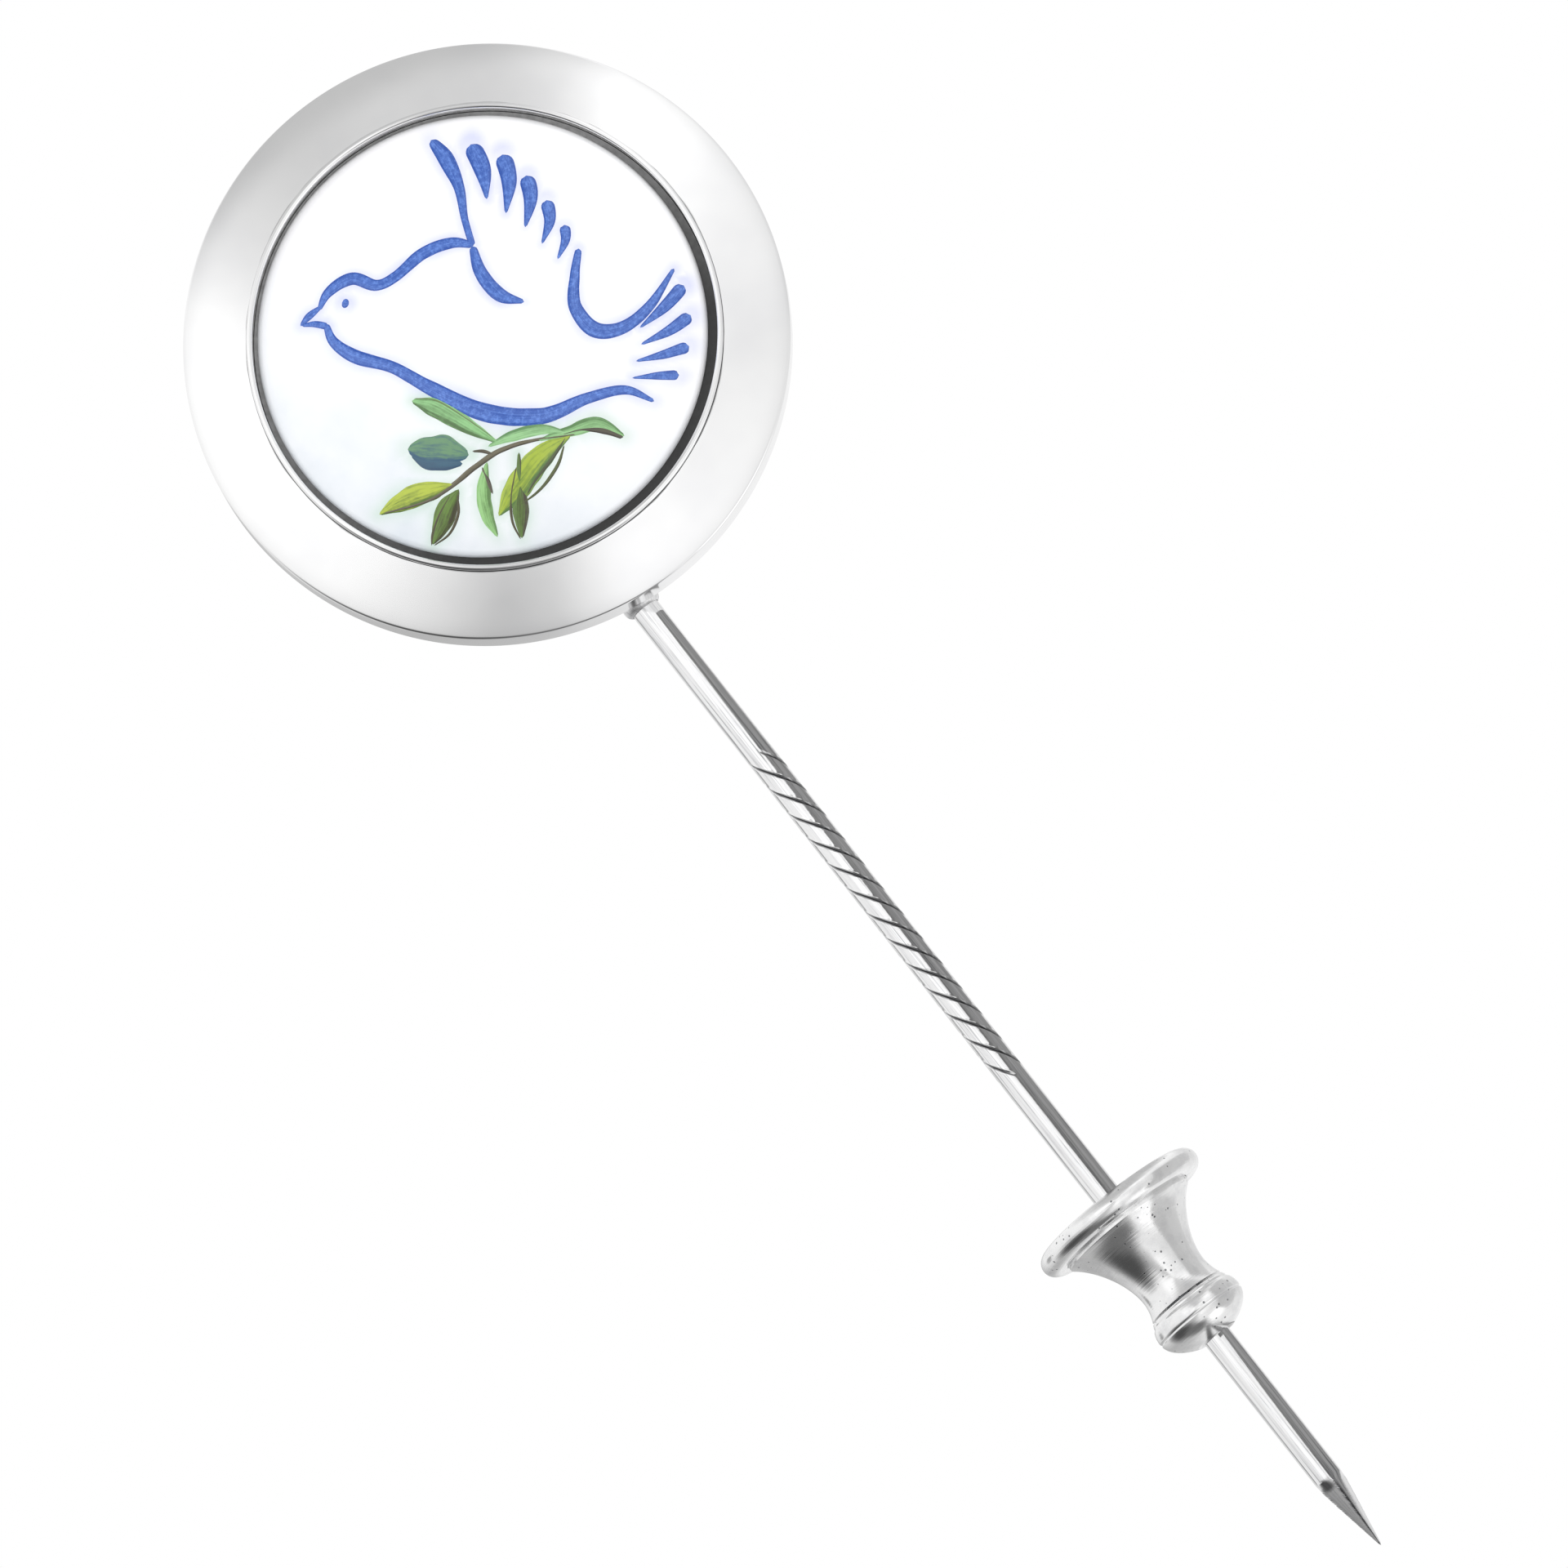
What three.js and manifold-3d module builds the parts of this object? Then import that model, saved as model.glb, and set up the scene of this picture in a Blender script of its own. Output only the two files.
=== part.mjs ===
// Hat pin: a domed porcelain plaque in a round silver frame, a wire stem with a
// twisted stretch, and a ball clutch that slides on the stem.
// Millimetres, +Z up. The face looks along -Y and the stem points down -Z.
// The origin is the centre of the head's flat back.

import * as THREE from 'three';
import { mergeVertices } from 'three/addons/utils/BufferGeometryUtils.js';
import Module from 'manifold-3d';

const wasm = await Module();
wasm.setup();

// ---- Driving dimensions -------------------------------------------------------

const FIT = 0.02;                 // gap between pieces that are pressed, set or soldered together
const RUNNING = 0.06;             // radial gap between the wire and what slides on it

// head, from the plaque outwards and from the back forwards
const PLAQUE_RADIUS = 9.26;
const PLAQUE_THICKNESS = 1.05;    // height of the plaque's edge
const DOME_RISE = 0.5;            // how far the plaque's middle stands above its edge
const PLAQUE_EDGE_ROUND = 0.3;
const GROOVE_WIDTH = 0.28;        // open ring between plaque and collar
const COLLAR_WALL = 0.24;
const COLLAR_STAND = 0.9;         // height of the collar's lip above the frame's outer edge
const RIM_WIDTH = 2.68;
const RIM_FALL = 0.62;            // how far the frame's face falls from the collar to its edge
const RIM_WALL = 0.4;             // thickness of the frame's metal
const RIM_EDGE_ROUND = 0.28;
const HEAD_DEPTH = 1.55;          // from the back to the frame's outer edge
const BACK_PLATE_THICKNESS = 0.5;
const CEMENT_THICKNESS = 0.3;

// stem
const WIRE_RADIUS = 0.6;
const STEM_LENGTH = 57.2;
const STEM_OFFSET = 1.55;         // the stem runs a little to one side of the head's middle
const SOLDERED_START = 4.0;       // distance from the head's centre to the top of the wire
const TWIST_START = 20.1;         // distances below the head's centre
const TWIST_LENGTH = 17.0;
const TWIST_PITCH = 5.2;
const TWIST_GROOVES = 4;
const GROOVE_DEPTH = 0.07;
const POINT_LENGTH = 3.4;
const POINT_RADIUS = 0.05;

// ferrule on the back
const FERRULE_WALL = 0.2;
const FERRULE_CAP = 0.5;          // closed end above the wire
const FERRULE_SHOW = 0.2;         // how far its end shows under the frame
const SADDLE_LENGTH = 6.0;
const SADDLE_WIDTH = 2.6;
const SADDLE_HEIGHT = 0.5;
const SADDLE_FLOOR = 0.1;         // solder between ferrule and back plate

// clutch, measured from the flange's face towards the point
const CLUTCH_FROM_TIP = 17.6;     // flange face to the stem's tip
const CAP_PLATE = 0.4;
const CAP_RIM_WIDTH = 0.88;
const CAP_RIM_HEIGHT = 1.0;
const MOUTH_RADIUS = 3.0;         // shell's flared end
const MOUTH_EDGE = 0.2;           // how far the flared end shows below the cap
const NECK_PLACE = 4.05;
const NECK_WALL = 0.34;
const SHELL_LENGTH = 4.9;
const SHELL_END_FLARE = 0.2;      // how far the shell widens again below its neck
const SHELL_LIP = 0.22;           // inward lip that keeps the spring's washer in
const BALL_RADIUS = 0.4;
const BALL_COUNT = 3;
const BALL_PLACE = 1.05;
const BALL_PLAY = 0.01;           // gap from a ball to the wire and to the taper
const CONE_ANGLE = 8;             // half angle of the grip cone's taper, degrees
const CONE_TOP = 0.46;
const CONE_END_WALL = 0.25;
const CONE_MARGIN = 0.05;         // taper left below the balls when the knob is pulled
const PULL_TRAVEL = 0.7;
const CAGE_TOP = 0.52;
const CAGE_END = 1.8;
const CAGE_WALL = 0.46;
const TUBE_WALL = 0.22;
const SPRING_WIRE_RADIUS = 0.1;
const SPRING_PLAY = 0.05;
const SPRING_TURNS = 6;
const WASHER_THICKNESS = 0.3;
const KNOB_GAP = 0.07;
const KNOB_RADIUS = 2.03;
const KNOB_LENGTH = 1.9;
const KNOB_STEP = 0.06;           // how far the knob's collar stands out from the shell's end
const KNOB_END_WALL = 0.24;
const KNOB_SOCKET = 1.35;         // depth of the tube's socket in the knob
const KNOB_COUNTERSINK = 0.2;

// facets
const HEAD_SIDES = 64;
const CLUTCH_SIDES = 40;
const WIRE_SIDES = 20;
const TWIST_STEP_ANGLE = 22.5;    // degrees of twist between two rows of the wire
const CURVE_STEPS = 4;

// ---- Sizes that follow ----------------------------------------------------------

const collarInner = PLAQUE_RADIUS + GROOVE_WIDTH;
const collarOuter = collarInner + COLLAR_WALL;
const frameInner = collarOuter + FIT;
const frameOuter = frameInner + RIM_WIDTH;
const frameTop = HEAD_DEPTH + RIM_FALL;
const plateRadius = frameOuter - RIM_WALL - FIT;
const cementBase = BACK_PLATE_THICKNESS + FIT;
const plaqueBase = cementBase + CEMENT_THICKNESS + FIT;
const collarTop = HEAD_DEPTH + COLLAR_STAND;

const ferruleInner = WIRE_RADIUS + FIT;
const ferruleOuter = ferruleInner + FERRULE_WALL;
const stemDepth = ferruleOuter + FIT + SADDLE_FLOOR + FIT;
const ferruleEnd = Math.sqrt(frameOuter ** 2 - STEM_OFFSET ** 2) + FERRULE_SHOW;
const stemTip = SOLDERED_START + STEM_LENGTH;
const clutchPlace = stemTip - CLUTCH_FROM_TIP;

const bore = WIRE_RADIUS + RUNNING;
const tubeOuter = bore + TUBE_WALL;
const cageOuter = bore + CAGE_WALL;
const shellBore = tubeOuter + 2 * SPRING_PLAY + 2 * SPRING_WIRE_RADIUS;
const springRadius = (shellBore + tubeOuter) / 2;
const ballOrbit = WIRE_RADIUS + BALL_RADIUS + BALL_PLAY;
const taper = Math.tan(THREE.MathUtils.degToRad(CONE_ANGLE));
const taperAtBalls = ballOrbit + (BALL_RADIUS + BALL_PLAY) * Math.hypot(1, taper);
const coneNarrow = taperAtBalls - (BALL_PLACE - CONE_TOP) * taper;
const coneEnd = BALL_PLACE + PULL_TRAVEL + BALL_RADIUS + CONE_MARGIN;
const coneWide = taperAtBalls + (coneEnd - BALL_PLACE) * taper;
const coneOuter = coneWide + CONE_END_WALL;
const neckRadius = shellBore + NECK_WALL;
const shellTop = CAP_PLATE + FIT;
const flangeRadius = MOUTH_RADIUS + FIT + CAP_RIM_WIDTH;
const shellEndRadius = neckRadius + SHELL_END_FLARE;
const washerEnd = SHELL_LENGTH - SHELL_LIP - FIT;
const washerTop = washerEnd - WASHER_THICKNESS;
const knobTop = SHELL_LENGTH + KNOB_GAP;
const knobCollar = shellEndRadius + KNOB_STEP;
const knobEndRadius = bore + KNOB_END_WALL;
const knobEnd = knobTop + KNOB_LENGTH;
const tubeEnd = knobTop + KNOB_SOCKET;

// ---- Materials ------------------------------------------------------------------

function metal(color, roughness) {
  return new THREE.MeshStandardMaterial({ color, roughness, metalness: 1 });
}

const polishedSilver = metal(0xe6e7e8, 0.16);
const silverWire = metal(0xd9dadb, 0.22);
const pittedSilver = metal(0xcfd0d1, 0.3);
const steel = metal(0xb4b7ba, 0.35);
const solder = metal(0xa9abad, 0.5);
const porcelain = new THREE.MeshStandardMaterial({ color: 0xf7f8fb, roughness: 0.08, metalness: 0 });
const cement = new THREE.MeshStandardMaterial({ color: 0xcfc8b8, roughness: 0.9, metalness: 0 });

// ---- Helpers --------------------------------------------------------------------

// Keeps only positions, joins shared vertices, drops flat triangles and turns the faces outwards.
function closedBody(geometry) {
  geometry.deleteAttribute('normal');
  geometry.deleteAttribute('uv');
  const merged = mergeVertices(geometry, 1e-5);
  const index = merged.getIndex().array;
  const faces = [];
  for (let i = 0; i < index.length; i += 3) {
    const [a, b, c] = [index[i], index[i + 1], index[i + 2]];
    if (a !== b && b !== c && c !== a) {
      faces.push([a, b, c]);
    }
  }
  const corner = (i) => new THREE.Vector3().fromBufferAttribute(merged.attributes.position, i);
  const volume = faces.reduce((sum, [a, b, c]) => sum + corner(a).dot(corner(b).cross(corner(c))), 0);
  const outward = volume > 0 ? faces : faces.map(([a, b, c]) => [a, c, b]);
  merged.setIndex(outward.flat());
  return merged;
}

// A solid of revolution about Y. The outline is a closed path of (radius, height).
function turned(path, sides) {
  const points = path.getPoints(CURVE_STEPS);
  if (!points[0].equals(points.at(-1))) {
    points.push(points[0].clone());
  }
  return closedBody(new THREE.LatheGeometry(points, sides));
}

function ring(inner, outer, low, high, sides) {
  const path = new THREE.Path();
  path.moveTo(inner, low);
  path.lineTo(outer, low);
  path.lineTo(outer, high);
  path.lineTo(inner, high);
  return turned(path, sides);
}

function toManifold(geometry) {
  return new wasm.Manifold(new wasm.Mesh({
    numProp: 3,
    vertProperties: new Float32Array(geometry.attributes.position.array),
    triVerts: new Uint32Array(geometry.getIndex().array),
  }));
}

function toGeometry(manifold) {
  const mesh = manifold.getMesh();
  const geometry = new THREE.BufferGeometry();
  geometry.setAttribute('position', new THREE.BufferAttribute(mesh.vertProperties, 3));
  geometry.setIndex(new THREE.BufferAttribute(mesh.triVerts, 1));
  return geometry;
}

function addMesh(group, name, geometry, material) {
  const mesh = new THREE.Mesh(geometry, material);
  mesh.name = name;
  group.add(mesh);
  return mesh;
}

// ---- Head: outlines are (radius, height above the back) ---------------------------

// The face falls outwards in a shallow curve to a rounded edge, and the wall turns down to the back.
function rimFrame() {
  const path = new THREE.Path();
  const edgeCentre = HEAD_DEPTH - RIM_EDGE_ROUND;
  const bend = frameInner + RIM_WIDTH * 0.55;
  path.moveTo(frameInner, frameTop);
  path.quadraticCurveTo(bend, frameTop - RIM_FALL * 0.3, frameOuter - RIM_EDGE_ROUND, HEAD_DEPTH);
  path.absarc(frameOuter - RIM_EDGE_ROUND, edgeCentre, RIM_EDGE_ROUND, Math.PI / 2, 0, true);
  path.lineTo(frameOuter, 0);
  path.lineTo(frameOuter - RIM_WALL, 0);
  path.lineTo(frameOuter - RIM_WALL, HEAD_DEPTH - RIM_WALL);
  path.quadraticCurveTo(bend, frameTop - RIM_FALL * 0.3 - RIM_WALL, frameInner, frameTop - RIM_WALL);
  return turned(path, HEAD_SIDES);
}

// The lip is rounded over.
function bezelCollar() {
  const path = new THREE.Path();
  const lip = COLLAR_WALL / 2;
  path.moveTo(collarInner, cementBase);
  path.lineTo(collarOuter, cementBase);
  path.lineTo(collarOuter, collarTop - lip);
  path.absarc(collarInner + lip, collarTop - lip, lip, 0, Math.PI, false);
  return turned(path, HEAD_SIDES);
}

function porcelainPlaque() {
  const path = new THREE.Path();
  const edgeTop = plaqueBase + PLAQUE_THICKNESS;
  const flatStart = PLAQUE_RADIUS - PLAQUE_EDGE_ROUND;
  path.moveTo(0, plaqueBase);
  path.lineTo(PLAQUE_RADIUS, plaqueBase);
  path.lineTo(PLAQUE_RADIUS, edgeTop - PLAQUE_EDGE_ROUND);
  path.absarc(flatStart, edgeTop - PLAQUE_EDGE_ROUND, PLAQUE_EDGE_ROUND, 0, Math.PI / 2, false);
  path.quadraticCurveTo(flatStart / 2, edgeTop + DOME_RISE, 0, edgeTop + DOME_RISE);
  return turned(path, HEAD_SIDES);
}

function disc(radius, low, high, sides) {
  const path = new THREE.Path();
  path.moveTo(0, low);
  path.lineTo(radius, low);
  path.lineTo(radius, high);
  path.lineTo(0, high);
  return turned(path, sides);
}

function buildHead() {
  const head = new THREE.Group();
  head.rotation.x = Math.PI;
  const cementTop = cementBase + CEMENT_THICKNESS;
  addMesh(head, 'rim_frame', rimFrame(), polishedSilver);
  addMesh(head, 'bezel_collar', bezelCollar(), polishedSilver);
  addMesh(head, 'porcelain_plaque', porcelainPlaque(), porcelain);
  addMesh(head, 'plaque_cement_bed', disc(collarInner - FIT, cementBase, cementTop, HEAD_SIDES), cement);
  addMesh(head, 'back_plate', disc(plateRadius, 0, BACK_PLATE_THICKNESS, HEAD_SIDES), polishedSilver);
  return head;
}

// ---- Stem and ferrule: outlines are (radius, distance below the head's centre) -------

// The wire's columns of vertices turn with the twist, so every groove is one column.
function stem() {
  const rowGap = TWIST_PITCH * TWIST_STEP_ANGLE / 360;
  const rows = Math.round(TWIST_LENGTH / rowGap);
  const outline = [new THREE.Vector2(0, SOLDERED_START), new THREE.Vector2(WIRE_RADIUS, SOLDERED_START)];
  for (let row = 0; row <= rows; row += 1) {
    outline.push(new THREE.Vector2(WIRE_RADIUS, TWIST_START + TWIST_LENGTH * row / rows));
  }
  outline.push(new THREE.Vector2(WIRE_RADIUS, stemTip - POINT_LENGTH));
  outline.push(new THREE.Vector2(POINT_RADIUS, stemTip - POINT_RADIUS));
  outline.push(new THREE.Vector2(0, stemTip));
  const geometry = new THREE.LatheGeometry(outline, WIRE_SIDES);
  twistWire(geometry.attributes.position);
  return closedBody(geometry);
}

function twistWire(position) {
  const sidesPerGroove = WIRE_SIDES / TWIST_GROOVES;
  const rowCount = position.count / (WIRE_SIDES + 1);
  for (let i = 0; i < position.count; i += 1) {
    const column = Math.floor(i / rowCount);
    const below = position.getY(i) - TWIST_START;
    const turns = THREE.MathUtils.clamp(below, 0, TWIST_LENGTH) / TWIST_PITCH;
    const inTwist = below > 0 && below < TWIST_LENGTH;
    const radius = Math.hypot(position.getX(i), position.getZ(i));
    const inGroove = inTwist && column % sidesPerGroove === 0;
    const angle = 2 * Math.PI * ((column % WIRE_SIDES) / WIRE_SIDES + turns);
    const cut = inGroove ? radius - GROOVE_DEPTH : radius;
    position.setX(i, cut * Math.cos(angle));
    position.setZ(i, cut * Math.sin(angle));
  }
}

function stemFerrule() {
  const path = new THREE.Path();
  const top = SOLDERED_START - FIT - FERRULE_CAP;
  path.moveTo(0, top);
  path.lineTo(ferruleOuter, top);
  path.lineTo(ferruleOuter, ferruleEnd);
  path.lineTo(ferruleInner, ferruleEnd);
  path.lineTo(ferruleInner, SOLDERED_START - FIT);
  path.lineTo(0, SOLDERED_START - FIT);
  return turned(path, WIRE_SIDES);
}

// A low block under the ferrule with the ferrule's round cut out of it.
function solderSaddle() {
  const middle = (SOLDERED_START + plateRadius) / 2;
  const block = new THREE.BoxGeometry(SADDLE_WIDTH, SADDLE_LENGTH, SADDLE_HEIGHT);
  block.translate(0, middle, FIT + SADDLE_HEIGHT / 2 - stemDepth);
  const tool = new THREE.CylinderGeometry(ferruleOuter + FIT, ferruleOuter + FIT, 2 * SADDLE_LENGTH, WIRE_SIDES);
  tool.translate(0, middle, 0);
  const saddle = toManifold(closedBody(block)).subtract(toManifold(closedBody(tool)));
  return toGeometry(saddle);
}

function buildStem() {
  const group = new THREE.Group();
  group.rotation.x = -Math.PI / 2;
  group.position.set(-STEM_OFFSET, stemDepth, 0);
  addMesh(group, 'stem', stem(), silverWire);
  addMesh(group, 'stem_ferrule', stemFerrule(), silverWire);
  addMesh(group, 'solder_saddle', solderSaddle(), solder);
  return group;
}

// ---- Clutch: outlines are (radius, distance below the flange's face) ----------------

// A shallow cup whose rim is rolled over.
function clutchFlangeCap() {
  const path = new THREE.Path();
  const roll = CAP_RIM_HEIGHT / 2;
  const rollCentre = flangeRadius - roll;
  path.moveTo(bore, 0);
  path.lineTo(rollCentre, 0);
  path.absarc(rollCentre, roll, roll, -Math.PI / 2, Math.PI / 2, false);
  path.lineTo(MOUTH_RADIUS + FIT, CAP_RIM_HEIGHT);
  path.lineTo(MOUTH_RADIUS + FIT, CAP_PLATE);
  path.lineTo(bore, CAP_PLATE);
  return turned(path, CLUTCH_SIDES);
}

// Flared like a bell from the mouth to the neck, with a straight bore and an inward lip.
function clutchTrumpetShell() {
  const path = new THREE.Path();
  const mouthEnd = CAP_RIM_HEIGHT + MOUTH_EDGE;
  const flare = NECK_PLACE - mouthEnd;
  const belowNeck = SHELL_LENGTH - NECK_PLACE;
  const coneBore = coneOuter + FIT;
  const lipRadius = tubeOuter + RUNNING;
  path.moveTo(coneBore, shellTop);
  path.lineTo(MOUTH_RADIUS, shellTop);
  path.lineTo(MOUTH_RADIUS, mouthEnd);
  path.bezierCurveTo(
    (MOUTH_RADIUS + neckRadius) / 2, mouthEnd + flare * 0.19,
    neckRadius, NECK_PLACE - flare * 0.37,
    neckRadius, NECK_PLACE,
  );
  path.bezierCurveTo(
    neckRadius, NECK_PLACE + belowNeck * 0.4,
    shellEndRadius - SHELL_END_FLARE * 0.4, SHELL_LENGTH - belowNeck * 0.2,
    shellEndRadius, SHELL_LENGTH,
  );
  path.lineTo(lipRadius, SHELL_LENGTH);
  path.lineTo(lipRadius, SHELL_LENGTH - SHELL_LIP);
  path.lineTo(shellBore, SHELL_LENGTH - SHELL_LIP);
  path.lineTo(shellBore, coneEnd + FIT);
  path.lineTo(coneBore, coneEnd + FIT);
  return turned(path, CLUTCH_SIDES);
}

function gripCone() {
  const path = new THREE.Path();
  path.moveTo(coneNarrow, CONE_TOP);
  path.lineTo(coneOuter, CONE_TOP);
  path.lineTo(coneOuter, coneEnd);
  path.lineTo(coneWide, coneEnd);
  return turned(path, CLUTCH_SIDES);
}

// A plunger tube with a thicker cage at its head, drilled for the balls.
function ballCarrier() {
  const path = new THREE.Path();
  path.moveTo(bore, CAGE_TOP);
  path.lineTo(cageOuter, CAGE_TOP);
  path.lineTo(cageOuter, CAGE_END);
  path.lineTo(tubeOuter, CAGE_END);
  path.lineTo(tubeOuter, tubeEnd);
  path.lineTo(bore, tubeEnd);
  let carrier = toManifold(turned(path, CLUTCH_SIDES));
  for (let i = 0; i < BALL_COUNT; i += 1) {
    const drill = new THREE.CylinderGeometry(BALL_RADIUS + FIT, BALL_RADIUS + FIT, ballOrbit, WIRE_SIDES);
    drill.rotateZ(Math.PI / 2);
    drill.translate(ballOrbit, BALL_PLACE, 0);
    drill.rotateY(2 * Math.PI * i / BALL_COUNT);
    carrier = carrier.subtract(toManifold(closedBody(drill)));
  }
  return toGeometry(carrier);
}

class Helix extends THREE.Curve {
  constructor(radius, low, high, turns) {
    super();
    Object.assign(this, { radius, low, high, turns });
  }

  getPoint(t, target = new THREE.Vector3()) {
    const angle = 2 * Math.PI * this.turns * t;
    const height = this.low + (this.high - this.low) * t;
    return target.set(this.radius * Math.cos(angle), height, this.radius * Math.sin(angle));
  }
}

function clutchSpring() {
  const low = CAGE_END + FIT + SPRING_WIRE_RADIUS;
  const high = washerTop - FIT - SPRING_WIRE_RADIUS;
  const section = new THREE.Shape();
  const sides = 6;
  for (let i = 0; i < sides; i += 1) {
    const angle = 2 * Math.PI * i / sides;
    const [x, y] = [SPRING_WIRE_RADIUS * Math.cos(angle), SPRING_WIRE_RADIUS * Math.sin(angle)];
    i === 0 ? section.moveTo(x, y) : section.lineTo(x, y);
  }
  const extrudePath = new Helix(springRadius, low, high, SPRING_TURNS);
  const steps = SPRING_TURNS * 14;
  return closedBody(new THREE.ExtrudeGeometry(section, { extrudePath, steps, bevelEnabled: false }));
}

// A bead with a collar facing the shell and a countersunk end.
function pullKnob() {
  const path = new THREE.Path();
  const widest = knobTop + KNOB_LENGTH * 0.4;
  const socket = tubeOuter + FIT;
  path.moveTo(socket, knobTop);
  path.lineTo(knobCollar, knobTop);
  path.quadraticCurveTo(KNOB_RADIUS, knobTop + KNOB_LENGTH * 0.2, KNOB_RADIUS, widest);
  path.bezierCurveTo(
    KNOB_RADIUS, knobTop + KNOB_LENGTH * 0.7,
    (KNOB_RADIUS + knobEndRadius) / 2, knobEnd - KNOB_LENGTH * 0.12,
    knobEndRadius, knobEnd,
  );
  path.lineTo(bore, knobEnd - KNOB_COUNTERSINK);
  path.lineTo(bore, tubeEnd + FIT);
  path.lineTo(socket, tubeEnd + FIT);
  return turned(path, CLUTCH_SIDES);
}

function addBalls(group) {
  for (let i = 0; i < BALL_COUNT; i += 1) {
    const ball = closedBody(new THREE.SphereGeometry(BALL_RADIUS, 12, 8));
    const mesh = addMesh(group, `grip_ball_${i + 1}`, ball, steel);
    const angle = 2 * Math.PI * i / BALL_COUNT;
    mesh.position.set(ballOrbit * Math.cos(angle), BALL_PLACE, -ballOrbit * Math.sin(angle));
  }
}

function buildClutch() {
  const group = new THREE.Group();
  group.rotation.x = -Math.PI / 2;
  group.position.set(-STEM_OFFSET, stemDepth, -clutchPlace);
  const washerInner = tubeOuter + RUNNING;
  const washerOuter = shellBore - FIT;
  const washer = ring(washerInner, washerOuter, washerTop, washerEnd, CLUTCH_SIDES);
  addMesh(group, 'clutch_flange_cap', clutchFlangeCap(), polishedSilver);
  addMesh(group, 'clutch_trumpet_shell', clutchTrumpetShell(), pittedSilver);
  addMesh(group, 'grip_cone', gripCone(), steel);
  addMesh(group, 'ball_carrier', ballCarrier(), steel);
  addBalls(group);
  addMesh(group, 'clutch_spring', clutchSpring(), steel);
  addMesh(group, 'spring_seat_washer', washer, steel);
  addMesh(group, 'pull_knob', pullKnob(), pittedSilver);
  return group;
}

// ---- The pin --------------------------------------------------------------------

const hatPin = new THREE.Group();
hatPin.add(buildHead(), buildStem(), buildClutch());

export default hatPin;
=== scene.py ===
from math import atan2, cos, hypot, pi, radians, sin, sqrt, tau

import bpy
from bpy.props import FloatProperty, IntProperty, PointerProperty, StringProperty
from bpy.types import Operator, Panel, PropertyGroup
from mathutils import Matrix, Vector, kdtree, noise


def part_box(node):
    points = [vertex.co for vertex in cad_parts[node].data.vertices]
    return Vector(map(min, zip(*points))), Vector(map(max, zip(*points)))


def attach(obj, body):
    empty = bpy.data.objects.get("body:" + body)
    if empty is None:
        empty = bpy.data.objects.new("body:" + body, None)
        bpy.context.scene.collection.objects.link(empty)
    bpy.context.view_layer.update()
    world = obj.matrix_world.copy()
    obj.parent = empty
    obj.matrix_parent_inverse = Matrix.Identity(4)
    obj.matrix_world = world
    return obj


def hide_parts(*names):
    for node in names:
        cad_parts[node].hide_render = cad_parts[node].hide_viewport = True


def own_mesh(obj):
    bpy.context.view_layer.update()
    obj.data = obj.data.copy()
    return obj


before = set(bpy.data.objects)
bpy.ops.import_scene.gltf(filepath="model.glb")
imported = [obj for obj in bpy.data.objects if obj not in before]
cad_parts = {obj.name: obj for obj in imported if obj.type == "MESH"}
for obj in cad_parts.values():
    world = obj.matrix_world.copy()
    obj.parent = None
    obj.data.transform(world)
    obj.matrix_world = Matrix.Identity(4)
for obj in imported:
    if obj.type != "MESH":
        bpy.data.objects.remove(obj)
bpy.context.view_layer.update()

bl_info = {
    "name": "Painted plaque hat pin",
    "version": (1, 0, 0),
    "blender": (4, 5, 0),
    "location": "View3D > Sidebar > Hat Pin",
    "description": "Dresses the hat pin's frame: head, painted plaque, twisted stem, ball clutch",
    "category": "Object",
}

# A hat pin in one shared frame: metres, the face looks along -Y, the stem points
# down -Z. Head outlines are (radius, height above the back), stem and clutch
# outlines are (radius, distance towards the point), all in millimetres.

MM = 0.001
WELD = 1e-7            # vertices closer than this are one

# where the CAD pieces stand
RIM_LOW, RIM_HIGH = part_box("rim_frame")
COLLAR_LOW, COLLAR_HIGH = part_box("bezel_collar")
PLAQUE_LOW, PLAQUE_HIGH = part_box("porcelain_plaque")
PLATE_LOW, PLATE_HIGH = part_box("back_plate")
BED_LOW, BED_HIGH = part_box("plaque_cement_bed")
STEM_LOW, STEM_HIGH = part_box("stem")
FERRULE_LOW, FERRULE_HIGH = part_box("stem_ferrule")
SADDLE_LOW, SADDLE_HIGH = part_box("solder_saddle")
FLANGE_LOW, FLANGE_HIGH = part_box("clutch_flange_cap")
SHELL_LOW, SHELL_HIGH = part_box("clutch_trumpet_shell")
BEAD_LOW, BEAD_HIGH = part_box("pull_knob")
SPRING_LOW, SPRING_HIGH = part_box("clutch_spring")

HEAD_PLACE = Matrix.Rotation(pi / 2, 4, "X")
STEM_AXIS = (STEM_LOW + STEM_HIGH) / 2
STEM_FOOT = Vector((STEM_AXIS.x, STEM_AXIS.y, 0))
STEM_PLACE = Matrix.Translation(STEM_FOOT) @ Matrix.Rotation(pi, 4, "X")
CLUTCH_PLACE = Matrix.Translation((0, 0, FLANGE_HIGH.z)) @ STEM_PLACE

# the painted picture stands upright along the stem's slant
ART_UP = Vector((0.6163, 0, 0.7875))
ART_RIGHT = Vector((0.7875, 0, -0.6163))
ASIDE = (ART_UP - ART_RIGHT).normalized() * 0.2 * MM    # the plaque was set by hand, off the middle


# ---- Settings a user would change ------------------------------------------------

def length(name, description, millimetres, **rest):
    return FloatProperty(
        name=name, description=description, default=millimetres * MM,
        subtype="DISTANCE", unit="LENGTH", precision=5, min=0, **rest,
    )


def count(name, description, default, low, high):
    return IntProperty(name=name, description=description, default=default, min=low, max=high)


def colour(name, description, value):
    return StringProperty(name=name, description=description + ", as an sRGB hex value", default=value)


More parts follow.
